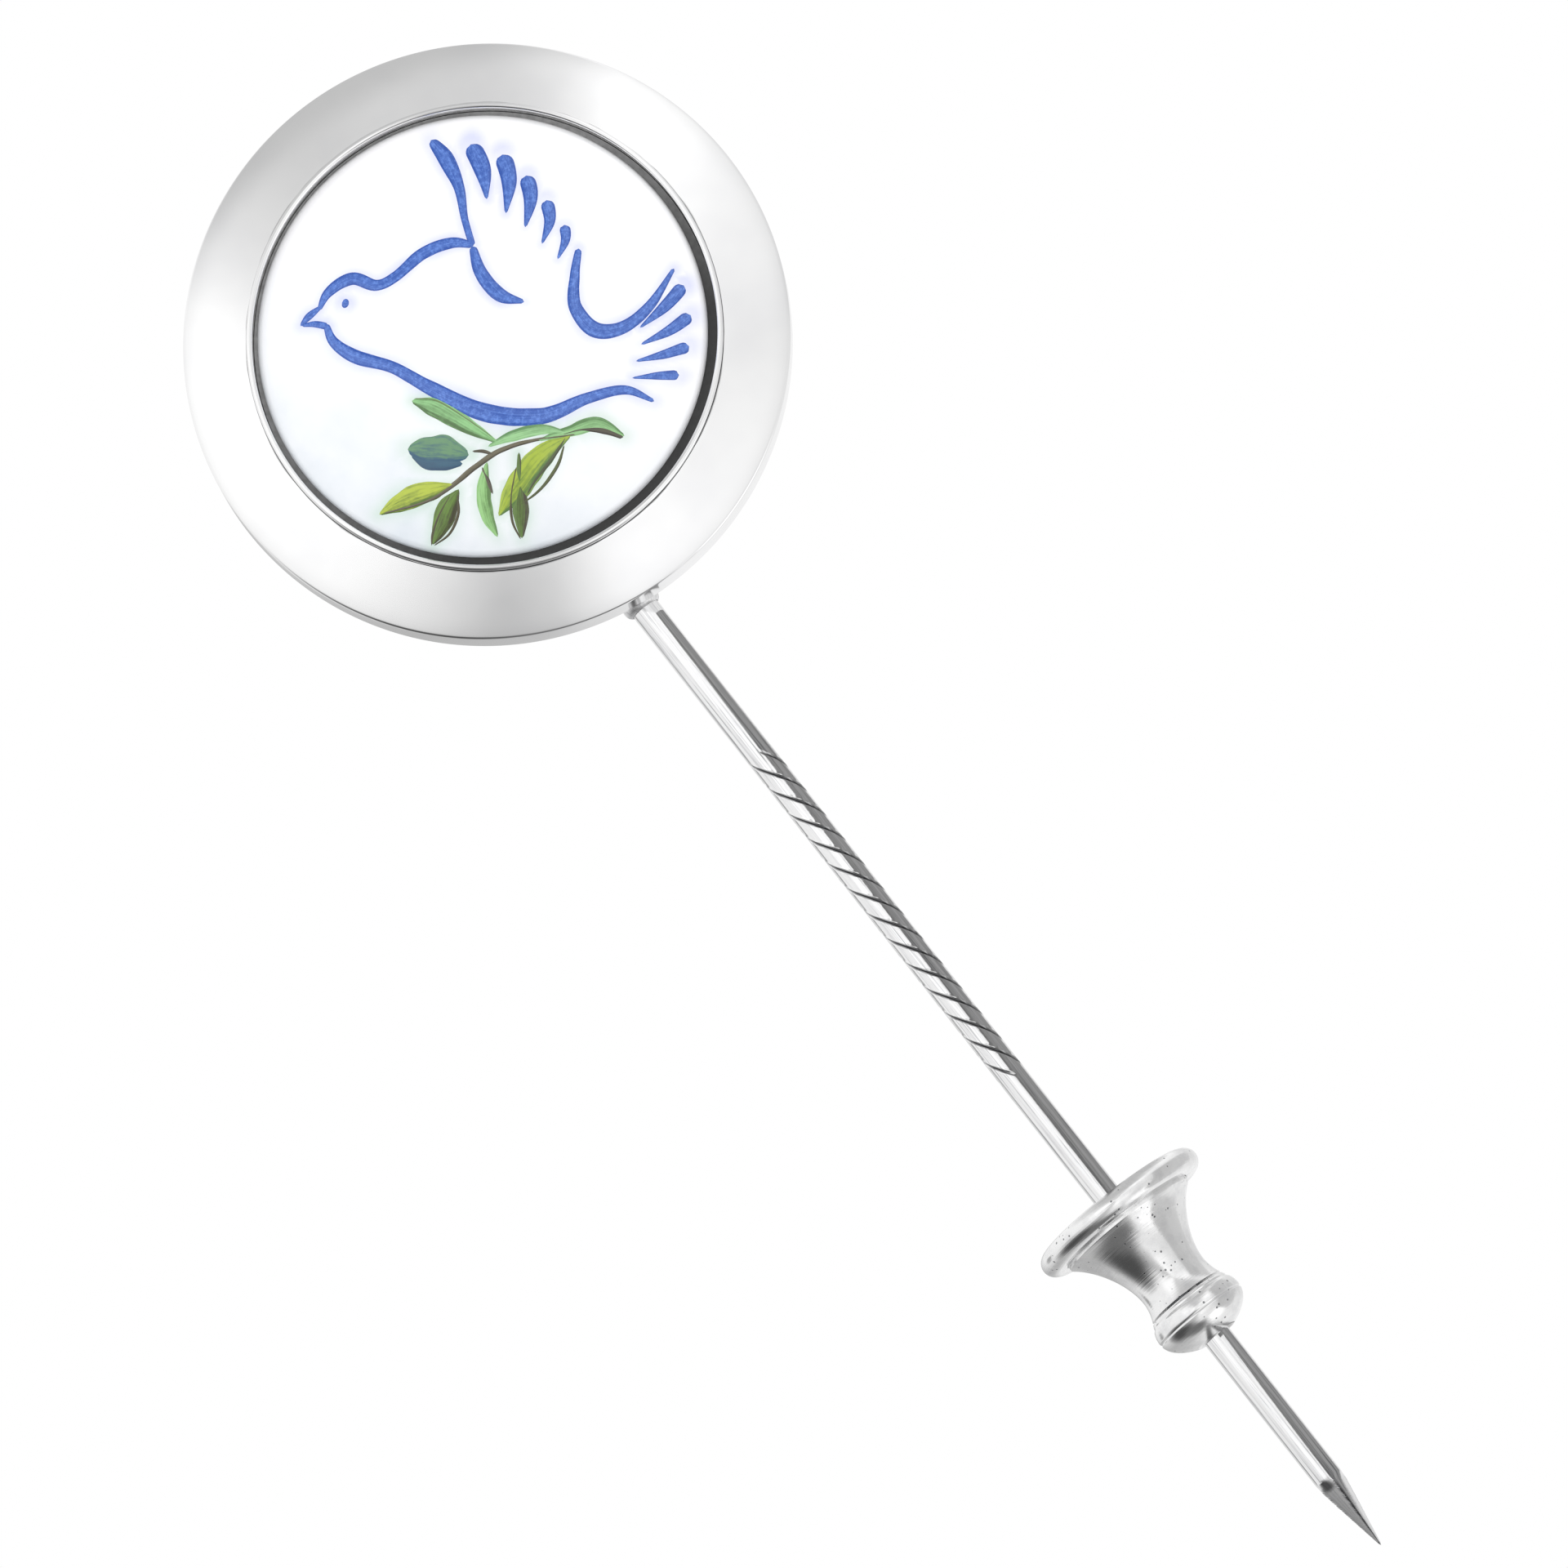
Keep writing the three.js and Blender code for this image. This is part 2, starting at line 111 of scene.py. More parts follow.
class HatPinHead(PropertyGroup):
    sides: count("Sides", "Facets round the head's turned silver", 256, 32, 512)
    plaque_sides: count("Plaque sides", "Facets round the plaque", 288, 32, 512)
    cement_sides: count("Cement sides", "Facets round the cement", 192, 32, 512)
    rim_edge: length("Rim edge round", "Radius of the frame's outer edge", 0.16)
    rim_wall: length("Rim wall", "Thickness of the frame's metal", 0.4)
    plaque_round: length("Plaque edge round", "Radius of the plaque's edge", 0.3)
    plaque_edge: length("Plaque edge", "Height of the plaque's edge", 1.05)
    enamel_lift: length("Enamel lift", "How far a stroke stands out of the glaze", 0.014)


class HatPinStem(PropertyGroup):
    sides: count("Sides", "Facets round the wire", 112, 24, 160)
    rings: count("Rings", "Rings along the wire", 540, 100, 800)
    twist_start: length("Twist start", "From the head's centre to the first groove", 20.1)
    twist_length: length("Twist length", "Length of the twisted stretch", 17.0)
    twist_pitch: length("Twist pitch", "Length of one full turn of a groove", 5.2)
    grooves: count("Grooves", "Grooves side by side", 4, 1, 8)
    groove_depth: length("Groove depth", "Depth of a groove at its middle", 0.07)
    groove_width: length("Groove width", "Width of a groove at half its depth", 0.1)
    point_length: length("Point length", "Length of the filed point", 3.4)
    point_radius: length("Point radius", "Radius of the point's tip", 0.03)


class HatPinClutch(PropertyGroup):
    sides: count("Sides", "Facets round the clutch's turned pieces", 160, 32, 256)
    bore: length("Bore", "Radius of the hole for the wire", 0.66)
    mouth: length("Mouth", "Radius of the trumpet's flared end", 3.0)
    neck: length("Neck", "Radius of the trumpet's neck", 1.52)
    spring_wire: length("Spring wire", "Radius of the spring's wire", 0.1)
    spring_turns: count("Spring turns", "Coils in the spring", 6, 2, 12)


class HatPinColours(PropertyGroup):
    silver_light: colour("Silver, light", "Polished silver where it is cleanest", "F7F7F7")
    silver_dark: colour("Silver, dark", "Polished silver with a first breath of tarnish", "EFEFF0")
    cast_light: colour("Cast silver, light", "Burnished high spots of the clutch", "F1F1F1")
    cast_dark: colour("Cast silver, dark", "Pores and hollows of the clutch", "8A8B8D")
    porcelain: colour("Porcelain", "Body under the clear glaze", "FCFCFE")
    cobalt_full: colour("Cobalt, full", "Where the brush left the most colour", "174AA4")
    cobalt_thin: colour("Cobalt, thin", "Where the colour runs out", "668FE0")
    cobalt_bleed: colour("Cobalt bleed", "Faint tint that the kiln draws out of the strokes", "B4BCEC")
    leaf_bleed: colour("Leaf bleed", "Faint tint beside the leaves", "BFD8C8")
    floor: colour("Floor", "Matt painted studio floor", "F4F4F4")


class HatPinStudio(PropertyGroup):
    lens: FloatProperty(
        name="Lens", description="Focal length on a 36 mm sensor", default=253.8, min=20)
    distance: length("Camera distance", "From the camera to the middle of the pin", 450)
    floor_drop: length("Floor drop", "How far the floor lies below the head", 150)
    key_power: FloatProperty(
        name="Key light", description="Power of the soft light on the face, in watts",
        default=2.2, min=0, subtype="POWER")
    white: FloatProperty(name="Sky", description="Brightness of the white room", default=1.28, min=0)


# ---- Small tools -----------------------------------------------------------------

def linear(hex_value):
    """An sRGB hex value as the linear colour that shaders work in."""
    parts = [int(hex_value[i:i + 2], 16) / 255 for i in (0, 2, 4)]
    return tuple(c / 12.92 if c <= 0.04045 else ((c + 0.055) / 1.055) ** 2.4 for c in parts) + (1.0,)


def deselect():
    if bpy.context.object and bpy.context.object.mode != "OBJECT":
        bpy.ops.object.mode_set(mode="OBJECT")
    bpy.ops.object.select_all(action="DESELECT")


def choose(piece):
    deselect()
    piece.select_set(True)
    bpy.context.view_layer.objects.active = piece


def named(piece, name):
    piece.name = name
    piece.data.name = name
    return piece


def settle(piece, place):
    """Puts a piece where it belongs and leaves its object at the origin, with its place in its mesh."""
    choose(piece)
    piece.matrix_world = place
    bpy.ops.object.transform_apply(location=True, rotation=True, scale=True)
    return piece


def tidy_mesh(piece, smooth_angle=32):
    choose(piece)
    bpy.ops.object.mode_set(mode="EDIT")
    bpy.ops.mesh.select_all(action="SELECT")
    bpy.ops.mesh.remove_doubles(threshold=WELD)
    bpy.ops.mesh.delete_loose(use_verts=True, use_edges=True, use_faces=False)
    bpy.ops.mesh.select_all(action="SELECT")
    bpy.ops.mesh.normals_make_consistent(inside=False)
    bpy.ops.object.mode_set(mode="OBJECT")
    bpy.ops.object.shade_smooth_by_angle(angle=radians(smooth_angle))
    return piece


def shape(piece, move):
    """Moves each vertex to where move says it goes."""
    for vertex in piece.data.vertices:
        vertex.co = move(vertex.co)
    piece.data.update()


def lathe(name, outline, place, sides):
    """Turns a closed outline of (radius, height) points, in millimetres, round the axis."""
    deselect()
    bpy.ops.mesh.primitive_circle_add(vertices=len(outline), radius=MM, location=(0, 0, 0))
    piece = named(bpy.context.object, name)
    for vertex, (radius, height) in zip(piece.data.vertices, outline):
        vertex.co = (radius * MM, 0, height * MM)
    bpy.ops.object.mode_set(mode="EDIT")
    bpy.ops.mesh.select_all(action="SELECT")
    bpy.ops.mesh.spin(steps=sides, angle=tau, center=(0, 0, 0), axis=(0, 0, 1))
    tidy_mesh(piece)
    return settle(piece, place)


def arc(centre, radius, start, end, steps=12):
    """Points on a circle from one angle to another, in degrees."""
    angles = [radians(start + (end - start) * i / steps) for i in range(steps + 1)]
    return [(centre[0] + radius * cos(a), centre[1] + radius * sin(a)) for a in angles]


def curve(*controls, steps=24, ends=True):
    """Points on a Bezier curve of any degree. Without ends, the first and last point are left out."""
    points = []
    for i in range(steps + 1):
        level, t = [Vector(c) for c in controls], i / steps
        while len(level) > 1:
            level = [a.lerp(b, t) for a, b in zip(level, level[1:])]
        points.append(tuple(level[0]))
    return points if ends else points[1:-1]


def screw_up(ring, angle, rise, steps):
    """Screws a ring of vertices along the axis and closes both ends."""
    screw = ring.modifiers.new("screwed", "SCREW")
    screw.axis = "Z"
    screw.angle = angle
    screw.screw_offset = rise
    screw.steps = screw.render_steps = steps
    bpy.ops.object.modifier_apply(modifier=screw.name)
    bpy.ops.object.mode_set(mode="EDIT")
    bpy.ops.mesh.select_all(action="DESELECT")
    bpy.ops.mesh.select_non_manifold(extend=False, use_wire=False, use_boundary=True,
                                     use_multi_face=False, use_non_contiguous=False, use_verts=False)
    bpy.ops.mesh.edge_face_add()
    bpy.ops.object.mode_set(mode="OBJECT")


def half_width(low, high):
    """The radius of a turned piece, in millimetres, from the corners of its box."""
    return (high.x - low.x) / 2 / MM


def span(start, end, steps):
    """Points inside a straight stretch, so that long faces are split."""
    return curve(start, end, steps=steps, ends=False)


def dress(piece, material, body, slot, *nodes):
    """Gives a piece its finish and its body, and hides the CAD nodes that it stands for. The slot is
    not used.
    """
    piece.data.materials.clear()
    piece.data.materials.append(material)
    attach(piece, body)
    if nodes:
        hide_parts(*nodes)
    return piece


def refinish(node_name, material):
    """A better finish for a CAD node that stays."""
    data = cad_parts[node_name].data
    data.materials.clear()
    data.materials.append(material)


# ---- Materials -------------------------------------------------------------------

def add(tree, kind, values=None, links=None, stops=None, **settings):
    """Adds a node with its settings, its socket values, its links and, on a ramp, its stops."""
    made = tree.nodes.new(kind)
    for key, value in settings.items():
        setattr(made, key, value)
    for key, value in (values or {}).items():
        made.inputs[key].default_value = value
    for key, source in (links or {}).items():
        tree.links.new(source, made.inputs[key])
    if stops:
        ramp = made.color_ramp.elements
        while len(ramp) < len(stops):
            ramp.new(0.5)
        for element, (position, value) in zip(ramp, stops):
            element.position = position
            element.color = value
    return made


def new_material(name):
    material = bpy.data.materials.new(name)
    material.use_nodes = True
    material.node_tree.nodes.clear()
    return material, material.node_tree


def object_place(tree):
    return add(tree, "ShaderNodeTexCoord").outputs["Object"]


def grain_of(tree, size_mm, detail, vector, roughness=0.5):
    """Noise whose lumps are about as large as said."""
    values = {"Scale": 1 / (size_mm * MM), "Detail": detail, "Roughness": roughness}
    return add(tree, "ShaderNodeTexNoise", values, {"Vector": vector}).outputs[0]


def remap(tree, value, start, end, low, high, **settings):
    """Runs from low to high while the value runs from start to end."""
    values = {"From Min": start, "From Max": end, "To Min": low, "To Max": high}
    return add(tree, "ShaderNodeMapRange", values, {0: value}, **settings).outputs[0]


def combine(tree, first, second, operation="ADD", **settings):
    """One value worked out of two others."""
    made = add(tree, "ShaderNodeMath", links={0: first, 1: second}, operation=operation, **settings)
    return made.outputs[0]


def reach_along(tree, vector, axis):
    """How far a vector reaches along an axis."""
    made = add(tree, "ShaderNodeVectorMath", {1: axis}, {0: vector}, operation="DOT_PRODUCT")
    return made.outputs["Value"]


def cover(tree, amount, under, over):
    """Lays a colour over another by an amount. Either is a hex value or a socket."""
    values, links = {}, {"Factor": amount}
    for key, colour in (("A", under), ("B", over)):
        if isinstance(colour, str):
            values[key] = linear(colour)
        else:
            links[key] = colour
    return add(tree, "ShaderNodeMix", values, links, data_type="RGBA").outputs["Result"]


def blend(tree, value, *stops):
    """A ramp through (position, hex value) stops."""
    return add(tree, "ShaderNodeValToRGB", links={0: value}, stops=[
        (position, linear(tone)) for position, tone in stops]).outputs[0]


def plain_finish(tree, values, colour, links=None):
    """A finish without relief, or with it among the links."""
    shader = add(tree, "ShaderNodeBsdfPrincipled", values, {"Base Color": colour, **(links or {})})
    add(tree, "ShaderNodeOutputMaterial", links={"Surface": shader.outputs["BSDF"]})


def finish_shader(tree, values, colour, height, strength, depth_mm, roughness=None):
    """The finish itself: fixed values, colour, relief and, where it varies, roughness."""
    relief = {"Strength": strength, "Distance": depth_mm * MM}
    links = {"Normal": add(tree, "ShaderNodeBump", relief, {"Height": height}).outputs[0]}
    if roughness:
        links["Roughness"] = roughness
    plain_finish(tree, values, colour, links)


def round_axis(tree, centre, along):
    """Coordinates for a turned piece: distance from its axis, angle round it, and place along it."""
    place = object_place(tree)
    local = add(tree, "ShaderNodeVectorMath", {1: centre}, {0: place}, operation="SUBTRACT")
    parts = add(tree, "ShaderNodeSeparateXYZ", links={0: local.outputs[0]})
    across = {"Y": ("X", "Z"), "Z": ("X", "Y")}[along]
    angle = add(tree, "ShaderNodeMath", links={
        0: parts.outputs[across[1]], 1: parts.outputs[across[0]]}, operation="ARCTAN2")
    flat = add(tree, "ShaderNodeCombineXYZ", links={
        0: parts.outputs[across[0]], 1: parts.outputs[across[1]]})
    radius = add(tree, "ShaderNodeVectorMath", links={0: flat.outputs[0]}, operation="LENGTH")
    return radius.outputs["Value"], angle.outputs[0], parts.outputs[along], place


def turned_lines(tree, line_mm, detail, centre, along):
    """Lines that follow the turning of a piece round its axis, and its object coordinates."""
    radius, _, height, place = round_axis(tree, centre, along)
    turning = add(tree, "ShaderNodeCombineXYZ", links={0: radius, 1: height})
    return radius, grain_of(tree, line_mm, detail, turning.outputs[0]), place


def spun_silver(name, colours, roughness, line_mm=0.05, line_depth=0.004, seam_mm=0.0):
    """Sterling silver, spun and buffed on a wheel.

    Nearly a mirror with a soft haze. The buffing leaves hairlines that follow the
    turning, under 0.02 mm wide in truth and drawn at 0.05 mm so that they show, and
    a cloudy first tarnish a few millimetres across. Polish that has dried in a seam
    leaves a broken dark line there."""
    material, tree = new_material(name)
    radius, hairlines, place = turned_lines(tree, line_mm, 2.0, (0, 0, 0), "Y")
    cloud = grain_of(tree, 5, 3.0, place, 0.6)
    base = blend(tree, cloud, (0.3, colours.silver_dark), (0.6, colours.silver_light))
    off_seam = add(tree, "ShaderNodeMath", {1: seam_mm * MM}, {0: radius}, operation="SUBTRACT")
    near = add(tree, "ShaderNodeMath", links={0: off_seam.outputs[0]}, operation="ABSOLUTE")
    width = remap(tree, grain_of(tree, 2.4, 3.0, place), 0.38, 0.62, 0.02 * MM, 0.1 * MM)
    dirt_and_shade = add(tree, "ShaderNodeMapRange", {"To Min": 0.85, "To Max": 0.0}, {
        0: near.outputs[0], "From Max": width}, interpolation_type="SMOOTHSTEP")
    skin = cover(tree, dirt_and_shade.outputs[0], base, "4E4F50")
    haze = remap(tree, cloud, 0.3, 0.7, roughness * 0.9, roughness * 1.15)
    finish_shader(tree, {"Metallic": 1.0}, skin, hairlines, 0.2, line_depth, haze)
    return material


def drawn_silver(name, colours, roughness=0.09, line_relief=0.3):
    """Silver wire pulled through a draw plate, then twisted and filed to its point.

    Bright, with fine lines along its length, about 0.04 mm apart, and darker
    streaks where a line has filled with tarnish."""
    material, tree = new_material(name)
    _, angle, along, _ = round_axis(tree, STEM_FOOT, "Z")
    turn = add(tree, "ShaderNodeMath", {1: 0.6}, {0: angle}, operation="MULTIPLY")
    stretch = add(tree, "ShaderNodeMath", {1: 12.0}, {0: along}, operation="MULTIPLY")
    lengthwise = add(tree, "ShaderNodeCombineXYZ", links={0: turn.outputs[0], 1: stretch.outputs[0]})
    lines = add(tree, "ShaderNodeTexNoise", {"Scale": 15.0, "Detail": 4.0, "Roughness": 0.7}, {
        "Vector": lengthwise.outputs[0]}).outputs[0]
    groove_and_edge_dark = add(tree, "ShaderNodeAttribute", attribute_name="groove")
    streak = blend(tree, lines, (0.31, "66676A"), (0.37, "C4C5C7"), (0.45, colours.silver_dark),
                   (0.6, colours.silver_light))
    base = cover(tree, groove_and_edge_dark.outputs["Fac"], streak, "4A4B4D")
    haze = remap(tree, lines, 0.35, 0.65, roughness * 1.5, roughness * 0.8)
    finish_shader(tree, {"Metallic": 1.0}, base, lines, line_relief, 0.012, haze)
    return material


def cast_silver(name, colours, roughness=0.17):
    """Silver cast in sand-fine plaster and burnished on the lathe.

    Soft bright bands with turned lines round them, and scattered pores 0.05 to
    0.15 mm across that the burnishing did not close, dark at the bottom."""
    material, tree = new_material(name)
    _, lines, place = turned_lines(tree, 0.09, 3.0, STEM_FOOT, "Z")
    cells = add(tree, "ShaderNodeTexVoronoi", {"Scale": 1 / (0.3 * MM), "Randomness": 1.0}, {
        "Vector": place})
    reach = remap(tree, grain_of(tree, 1.3, 2.0, place), 0.4, 0.62, 0.02, 0.17)
    pore = combine(tree, cells.outputs["Distance"], reach, "LESS_THAN")
    cloud = grain_of(tree, 0.8, 4.0, place, 0.65)
    skin = blend(tree, cloud, (0.3, "E2E2E3"), (0.55, colours.cast_light))
    base = cover(tree, pore, skin, colours.cast_dark)
    haze = remap(tree, cloud, 0.3, 0.7, roughness * 1.3, roughness * 0.75)
    soft = add(tree, "ShaderNodeMath", {1: -2.5}, {0: pore}, operation="MULTIPLY")
    relief = combine(tree, lines, soft.outputs[0])
    waves = add(tree, "ShaderNodeMath", {1: 0.6}, {0: cloud, 2: relief}, operation="MULTIPLY_ADD")
    finish_shader(tree, {"Metallic": 1.0}, base, waves.outputs[0], 0.45, 0.018, haze)
    return material


def soft_solder(name):
    """Tin solder that was fed in with a torch and left unpolished.

    Greyer than the silver beside it, with a frosted skin and slow ripples."""
    material, tree = new_material(name)
    ripples = grain_of(tree, 0.5, 5.0, object_place(tree), 0.6)
    base = blend(tree, ripples, (0.3, "9C9DA0"), (0.65, "C9CACC"))
    haze = remap(tree, ripples, 0.0, 1.0, 0.5, 0.3)
    finish_shader(tree, {"Metallic": 1.0}, base, ripples, 0.3, 0.03, haze)
    return material


def hardened_steel(name, light, dark, line_mm):
    """Tool steel, hardened and ground.

    Colder and darker than silver, with short grinding lines and a film of oil."""
    material, tree = new_material(name)
    _, lines, place = turned_lines(tree, line_mm, 3.0, STEM_FOOT, "Z")
    base = blend(tree, grain_of(tree, 0.7, 2.0, place), (0.35, dark), (0.65, light))
    haze = remap(tree, lines, 0.0, 1.0, 0.2, 0.38)
    finish_shader(tree, {"Metallic": 1.0}, base, lines, 0.3, 0.008, haze)
    return material


def bone_cement(name):
    """Plaster-like setting cement pressed in by hand.

    Chalky and uneven grey, with painted shade that darkens it to nearly black low on the right, where
    the groove round the plaque lies in shadow."""
    material, tree = new_material(name)
    place = object_place(tree)
    grit = grain_of(tree, 0.25, 6.0, place)
    powder = blend(tree, grit, (0.3, "8A8A8A"), (0.7, "A6A6A6"))
    # painted shade: the cement darkens towards the lower right, where the groove is in shadow
    dirt_and_shade = remap(tree, reach_along(tree, place, ART_RIGHT - ART_UP), -9 * MM, 8 * MM, 0.1, 0.95)
    base = cover(tree, dirt_and_shade, powder, "303030")
    finish_shader(tree, {"Roughness": 0.9}, base, grit, 0.5, 0.05)
    return material


def glazed_porcelain(name, colours):
    """Hard porcelain, pressed, fired and dipped in clear glaze.

    Cold white with a wet shine, greyer and bluer in patches towards the bottom of the picture. The
    glaze pools into a faint orange peel 1.5 mm across, and the kiln draws a little colour out of the
    strokes into it."""
    material, tree = new_material(name)
    place = object_place(tree)
    peel = grain_of(tree, 1.5, 1.0, place)
    # a grey-blue tint in patches, stronger towards the bottom of the picture
    towards_bottom = remap(tree, reach_along(tree, place, ART_UP + 0.35 * ART_RIGHT), 1 * MM, -9 * MM, 0.0, 1.0)
    bottom_tint = combine(tree, towards_bottom, grain_of(tree, 3, 4.0, place), "MULTIPLY")
    base = cover(tree, bottom_tint, colours.porcelain, "C4D0DA")
    for attribute, tone in (("cobalt_bleed", colours.cobalt_bleed), ("leaf_bleed", colours.leaf_bleed)):
        drawn = add(tree, "ShaderNodeAttribute", attribute_name=attribute)
        base = cover(tree, drawn.outputs["Fac"], base, tone)
    finish_shader(tree, {"Roughness": 0.1, "IOR": 1.5, "Coat Weight": 1.0, "Coat Roughness": 0.03},
                  base, peel, 0.15, 0.02)
    return material


def bristle_marks(tree, scale, detail_roughness):
    """Streaks that a brush leaves along a stroke, and how far across the stroke a place is."""
    uv = add(tree, "ShaderNodeUVMap", uv_map="UVMap").outputs[0]
    streaks = add(tree, "ShaderNodeMapping", {"Scale": scale}, {"Vector": uv})
    bristles = add(tree, "ShaderNodeTexNoise", {
        "Scale": 1.0, "Detail": 3.0, "Roughness": detail_roughness}, {"Vector": streaks.outputs[0]})
    return bristles.outputs[0], add(tree, "ShaderNodeSeparateXYZ", links={0: uv}).outputs["Y"]


ENAMEL_SHINE = {"Roughness": 0.16, "Coat Weight": 0.7, "Coat Roughness": 0.04}


def brushed_enamel(name, full, thin):
    """China paint laid on the glaze with a soft brush and fired until it shines.

    Strong where the brush pressed, thinner in streaks along the stroke, at its
    edges and where it was lifted. u runs along the stroke and v across it."""
    material, tree = new_material(name)
    bristles, across = bristle_marks(tree, (3.0, 14.0, 1.0), 0.5)
    grain = grain_of(tree, 0.16, 4.0, object_place(tree), 0.7)
    offset = add(tree, "ShaderNodeMath", {1: 0.5}, {0: across}, operation="SUBTRACT")
    edge = add(tree, "ShaderNodeMath", links={0: offset.outputs[0]}, operation="ABSOLUTE")
    rim = remap(tree, edge.outputs[0], 0.25, 0.42, 0.1, -0.4, interpolation_type="SMOOTHSTEP")
    dry = remap(tree, bristles, 0.42, 0.68, 0.0, 0.45)
    worn = remap(tree, grain, 0.45, 0.72, 0.0, 0.7)
    amount = combine(tree, combine(tree, rim, dry), worn, use_clamp=True)
    finish_shader(tree, ENAMEL_SHINE, cover(tree, amount, full, thin), bristles, 0.2, 0.01)
    return material


def leaf_enamel(name):
    """Green china paints, laid wet so that two tones run into each other, fired to a shine.

    Each mark carries its own light and dark colour. The dark one pools along one
    edge and the mid rib."""
    material, tree = new_material(name)
    light, dark = (add(tree, "ShaderNodeVertexColor", layer_name=layer).outputs["Color"]
                   for layer in ("light_tone", "dark_tone"))
    bristles, across = bristle_marks(tree, (2.2, 7.0, 1.0), 0.6)
    grain = grain_of(tree, 0.2, 4.0, object_place(tree))
    pool = remap(tree, across, 0.5, 0.92, -0.1, 0.9, interpolation_type="SMOOTHSTEP")
    run = remap(tree, bristles, 0.38, 0.66, -0.2, 0.7)
    speck = remap(tree, grain, 0.4, 0.75, 0.0, 0.25)
    amount = combine(tree, combine(tree, pool, run), speck, use_clamp=True)
    finish_shader(tree, ENAMEL_SHINE, cover(tree, amount, light, dark), bristles, 0.2, 0.01)
    return material


def matt_floor_paint(name, value):
    """Matt studio paint, rolled on: even, pale, with the roller's faint stipple."""
    material, tree = new_material(name)
    base = cover(tree, grain_of(tree, 4, 2.0, object_place(tree)), value, "EFEFEF")
    plain_finish(tree, {"Roughness": 0.9}, base)
    return material


# ---- Studio ----------------------------------------------------------------------

# What the silver mirrors: a white room with grey cards. The first list goes round the
# direction that the flat of the head mirrors, as (degrees anticlockwise from the right,
# grey).
CARD_RING = [
    (-180, "F8F8F8"), (-150, "F4F4F4"), (-125, "EEEEEE"), (-105, "D2D2D2"), (-90, "B2B2B2"),
    (-76, "C0C0C0"), (-60, "F4F4F4"), (-30, "EAEAEA"), (0, "DCDCDC"), (30, "E6E6E6"),
    (52, "F6F6F6"), (62, "FFFFFF"), (74, "DCDCDC"), (90, "C4C4C4"), (120, "C4C4C4"),
    (137, "BDBDBD"), (152, "CBCBCB"), (166, "E0E0E0"), (180, "F8F8F8"),
]

# The room is dimmer far from that direction (degrees, degrees, share of the light).
BRIGHT_WITHIN, DIM_BEYOND, DIMMED = 33, 50, 0.84

# Single grey cards far off in the room: (direction, angle to which the card is full,
# angle by which it is gone, grey).
GREY_CARDS = [
    ((-0.80, -0.20, -0.56), 9, 46, "464646"),       # low on the left
    ((-0.30, -0.12, -0.95), 9, 30, "666666"),       # nearly straight below
    ((0.15, -0.42, 0.89), 4, 30, "B2B2B2"),         # above
    ((0.66, -0.42, -0.62), 6, 34, "D4D4D4"),        # low on the right
    ((0.40, -0.12, -0.91), 9, 24, "FFFFFF"),        # a gap between two cards
    ((-0.79, 0.59, 0.17), 5, 11, "909090"),         # behind on the left
]

# Cards that stand close to the pin. A plan is (back edge, front edge, how deep its pleats
# make the card seem, power by which they crowd to the front, near grey, far grey), in
# millimetres from the stem's axis. The slanted card is small enough to stay hidden in
# the clutch's neck wherever the clutch has slid to.
PLEAT_MM = 0.3
SLANTED = ((0.95, 0.05), (0.19, -1.4), 5.65, 2.8, "505050", "9A9A9A")
UPRIGHT = ((9, 3), (9, -8), 11.0, 1.0, "BEBEBE", "D8D8D8")

# (name, plan, bottom, top, share of the width that is cut off the top of the front edge)
STANDING_CARDS = [
    ("card_beside_wire", SLANTED, -43.3, -12.9, 0.363),
    ("card_inside_clutch", SLANTED, -50.6, -43.3, 0.363),
    ("card_beside_point", SLANTED, -61.4, -50.6, 0.39),
    ("card_beside_clutch", UPRIGHT, -62, -42, 0.0),
]


def card_tone(tree, direction):
    """The grey that the room shows in a direction."""
    across, up, forward = camera_axes()
    mirrored = forward.reflect(Vector((0, 1, 0)))
    sideways, upwards = (
        add(tree, "ShaderNodeMath", {1: mirrored.dot(axis)}, {0: reach_along(tree, direction, axis)},
            operation="SUBTRACT").outputs[0] for axis in (across, up))
    turn = remap(tree, combine(tree, upwards, sideways, "ARCTAN2"), -pi, pi, 0.0, 1.0)
    tone = blend(tree, turn, *[((degree + 180) / 360, grey) for degree, grey in CARD_RING])
    dimmed = remap(tree, reach_along(tree, direction, mirrored), cos(radians(DIM_BEYOND)),
                   cos(radians(BRIGHT_WITHIN)), DIMMED, 1.0, interpolation_type="SMOOTHSTEP")
    tone = add(tree, "ShaderNodeVectorMath", links={0: tone, "Scale": dimmed},
               operation="SCALE").outputs["Vector"]
    for axis, full, gone, grey in GREY_CARDS:
        share = remap(tree, reach_along(tree, direction, Vector(axis).normalized()), cos(radians(gone)),
                      cos(radians(full)), 0.0, 1.0, interpolation_type="SMOOTHSTEP")
        tone = cover(tree, share, tone, grey)
    return tone


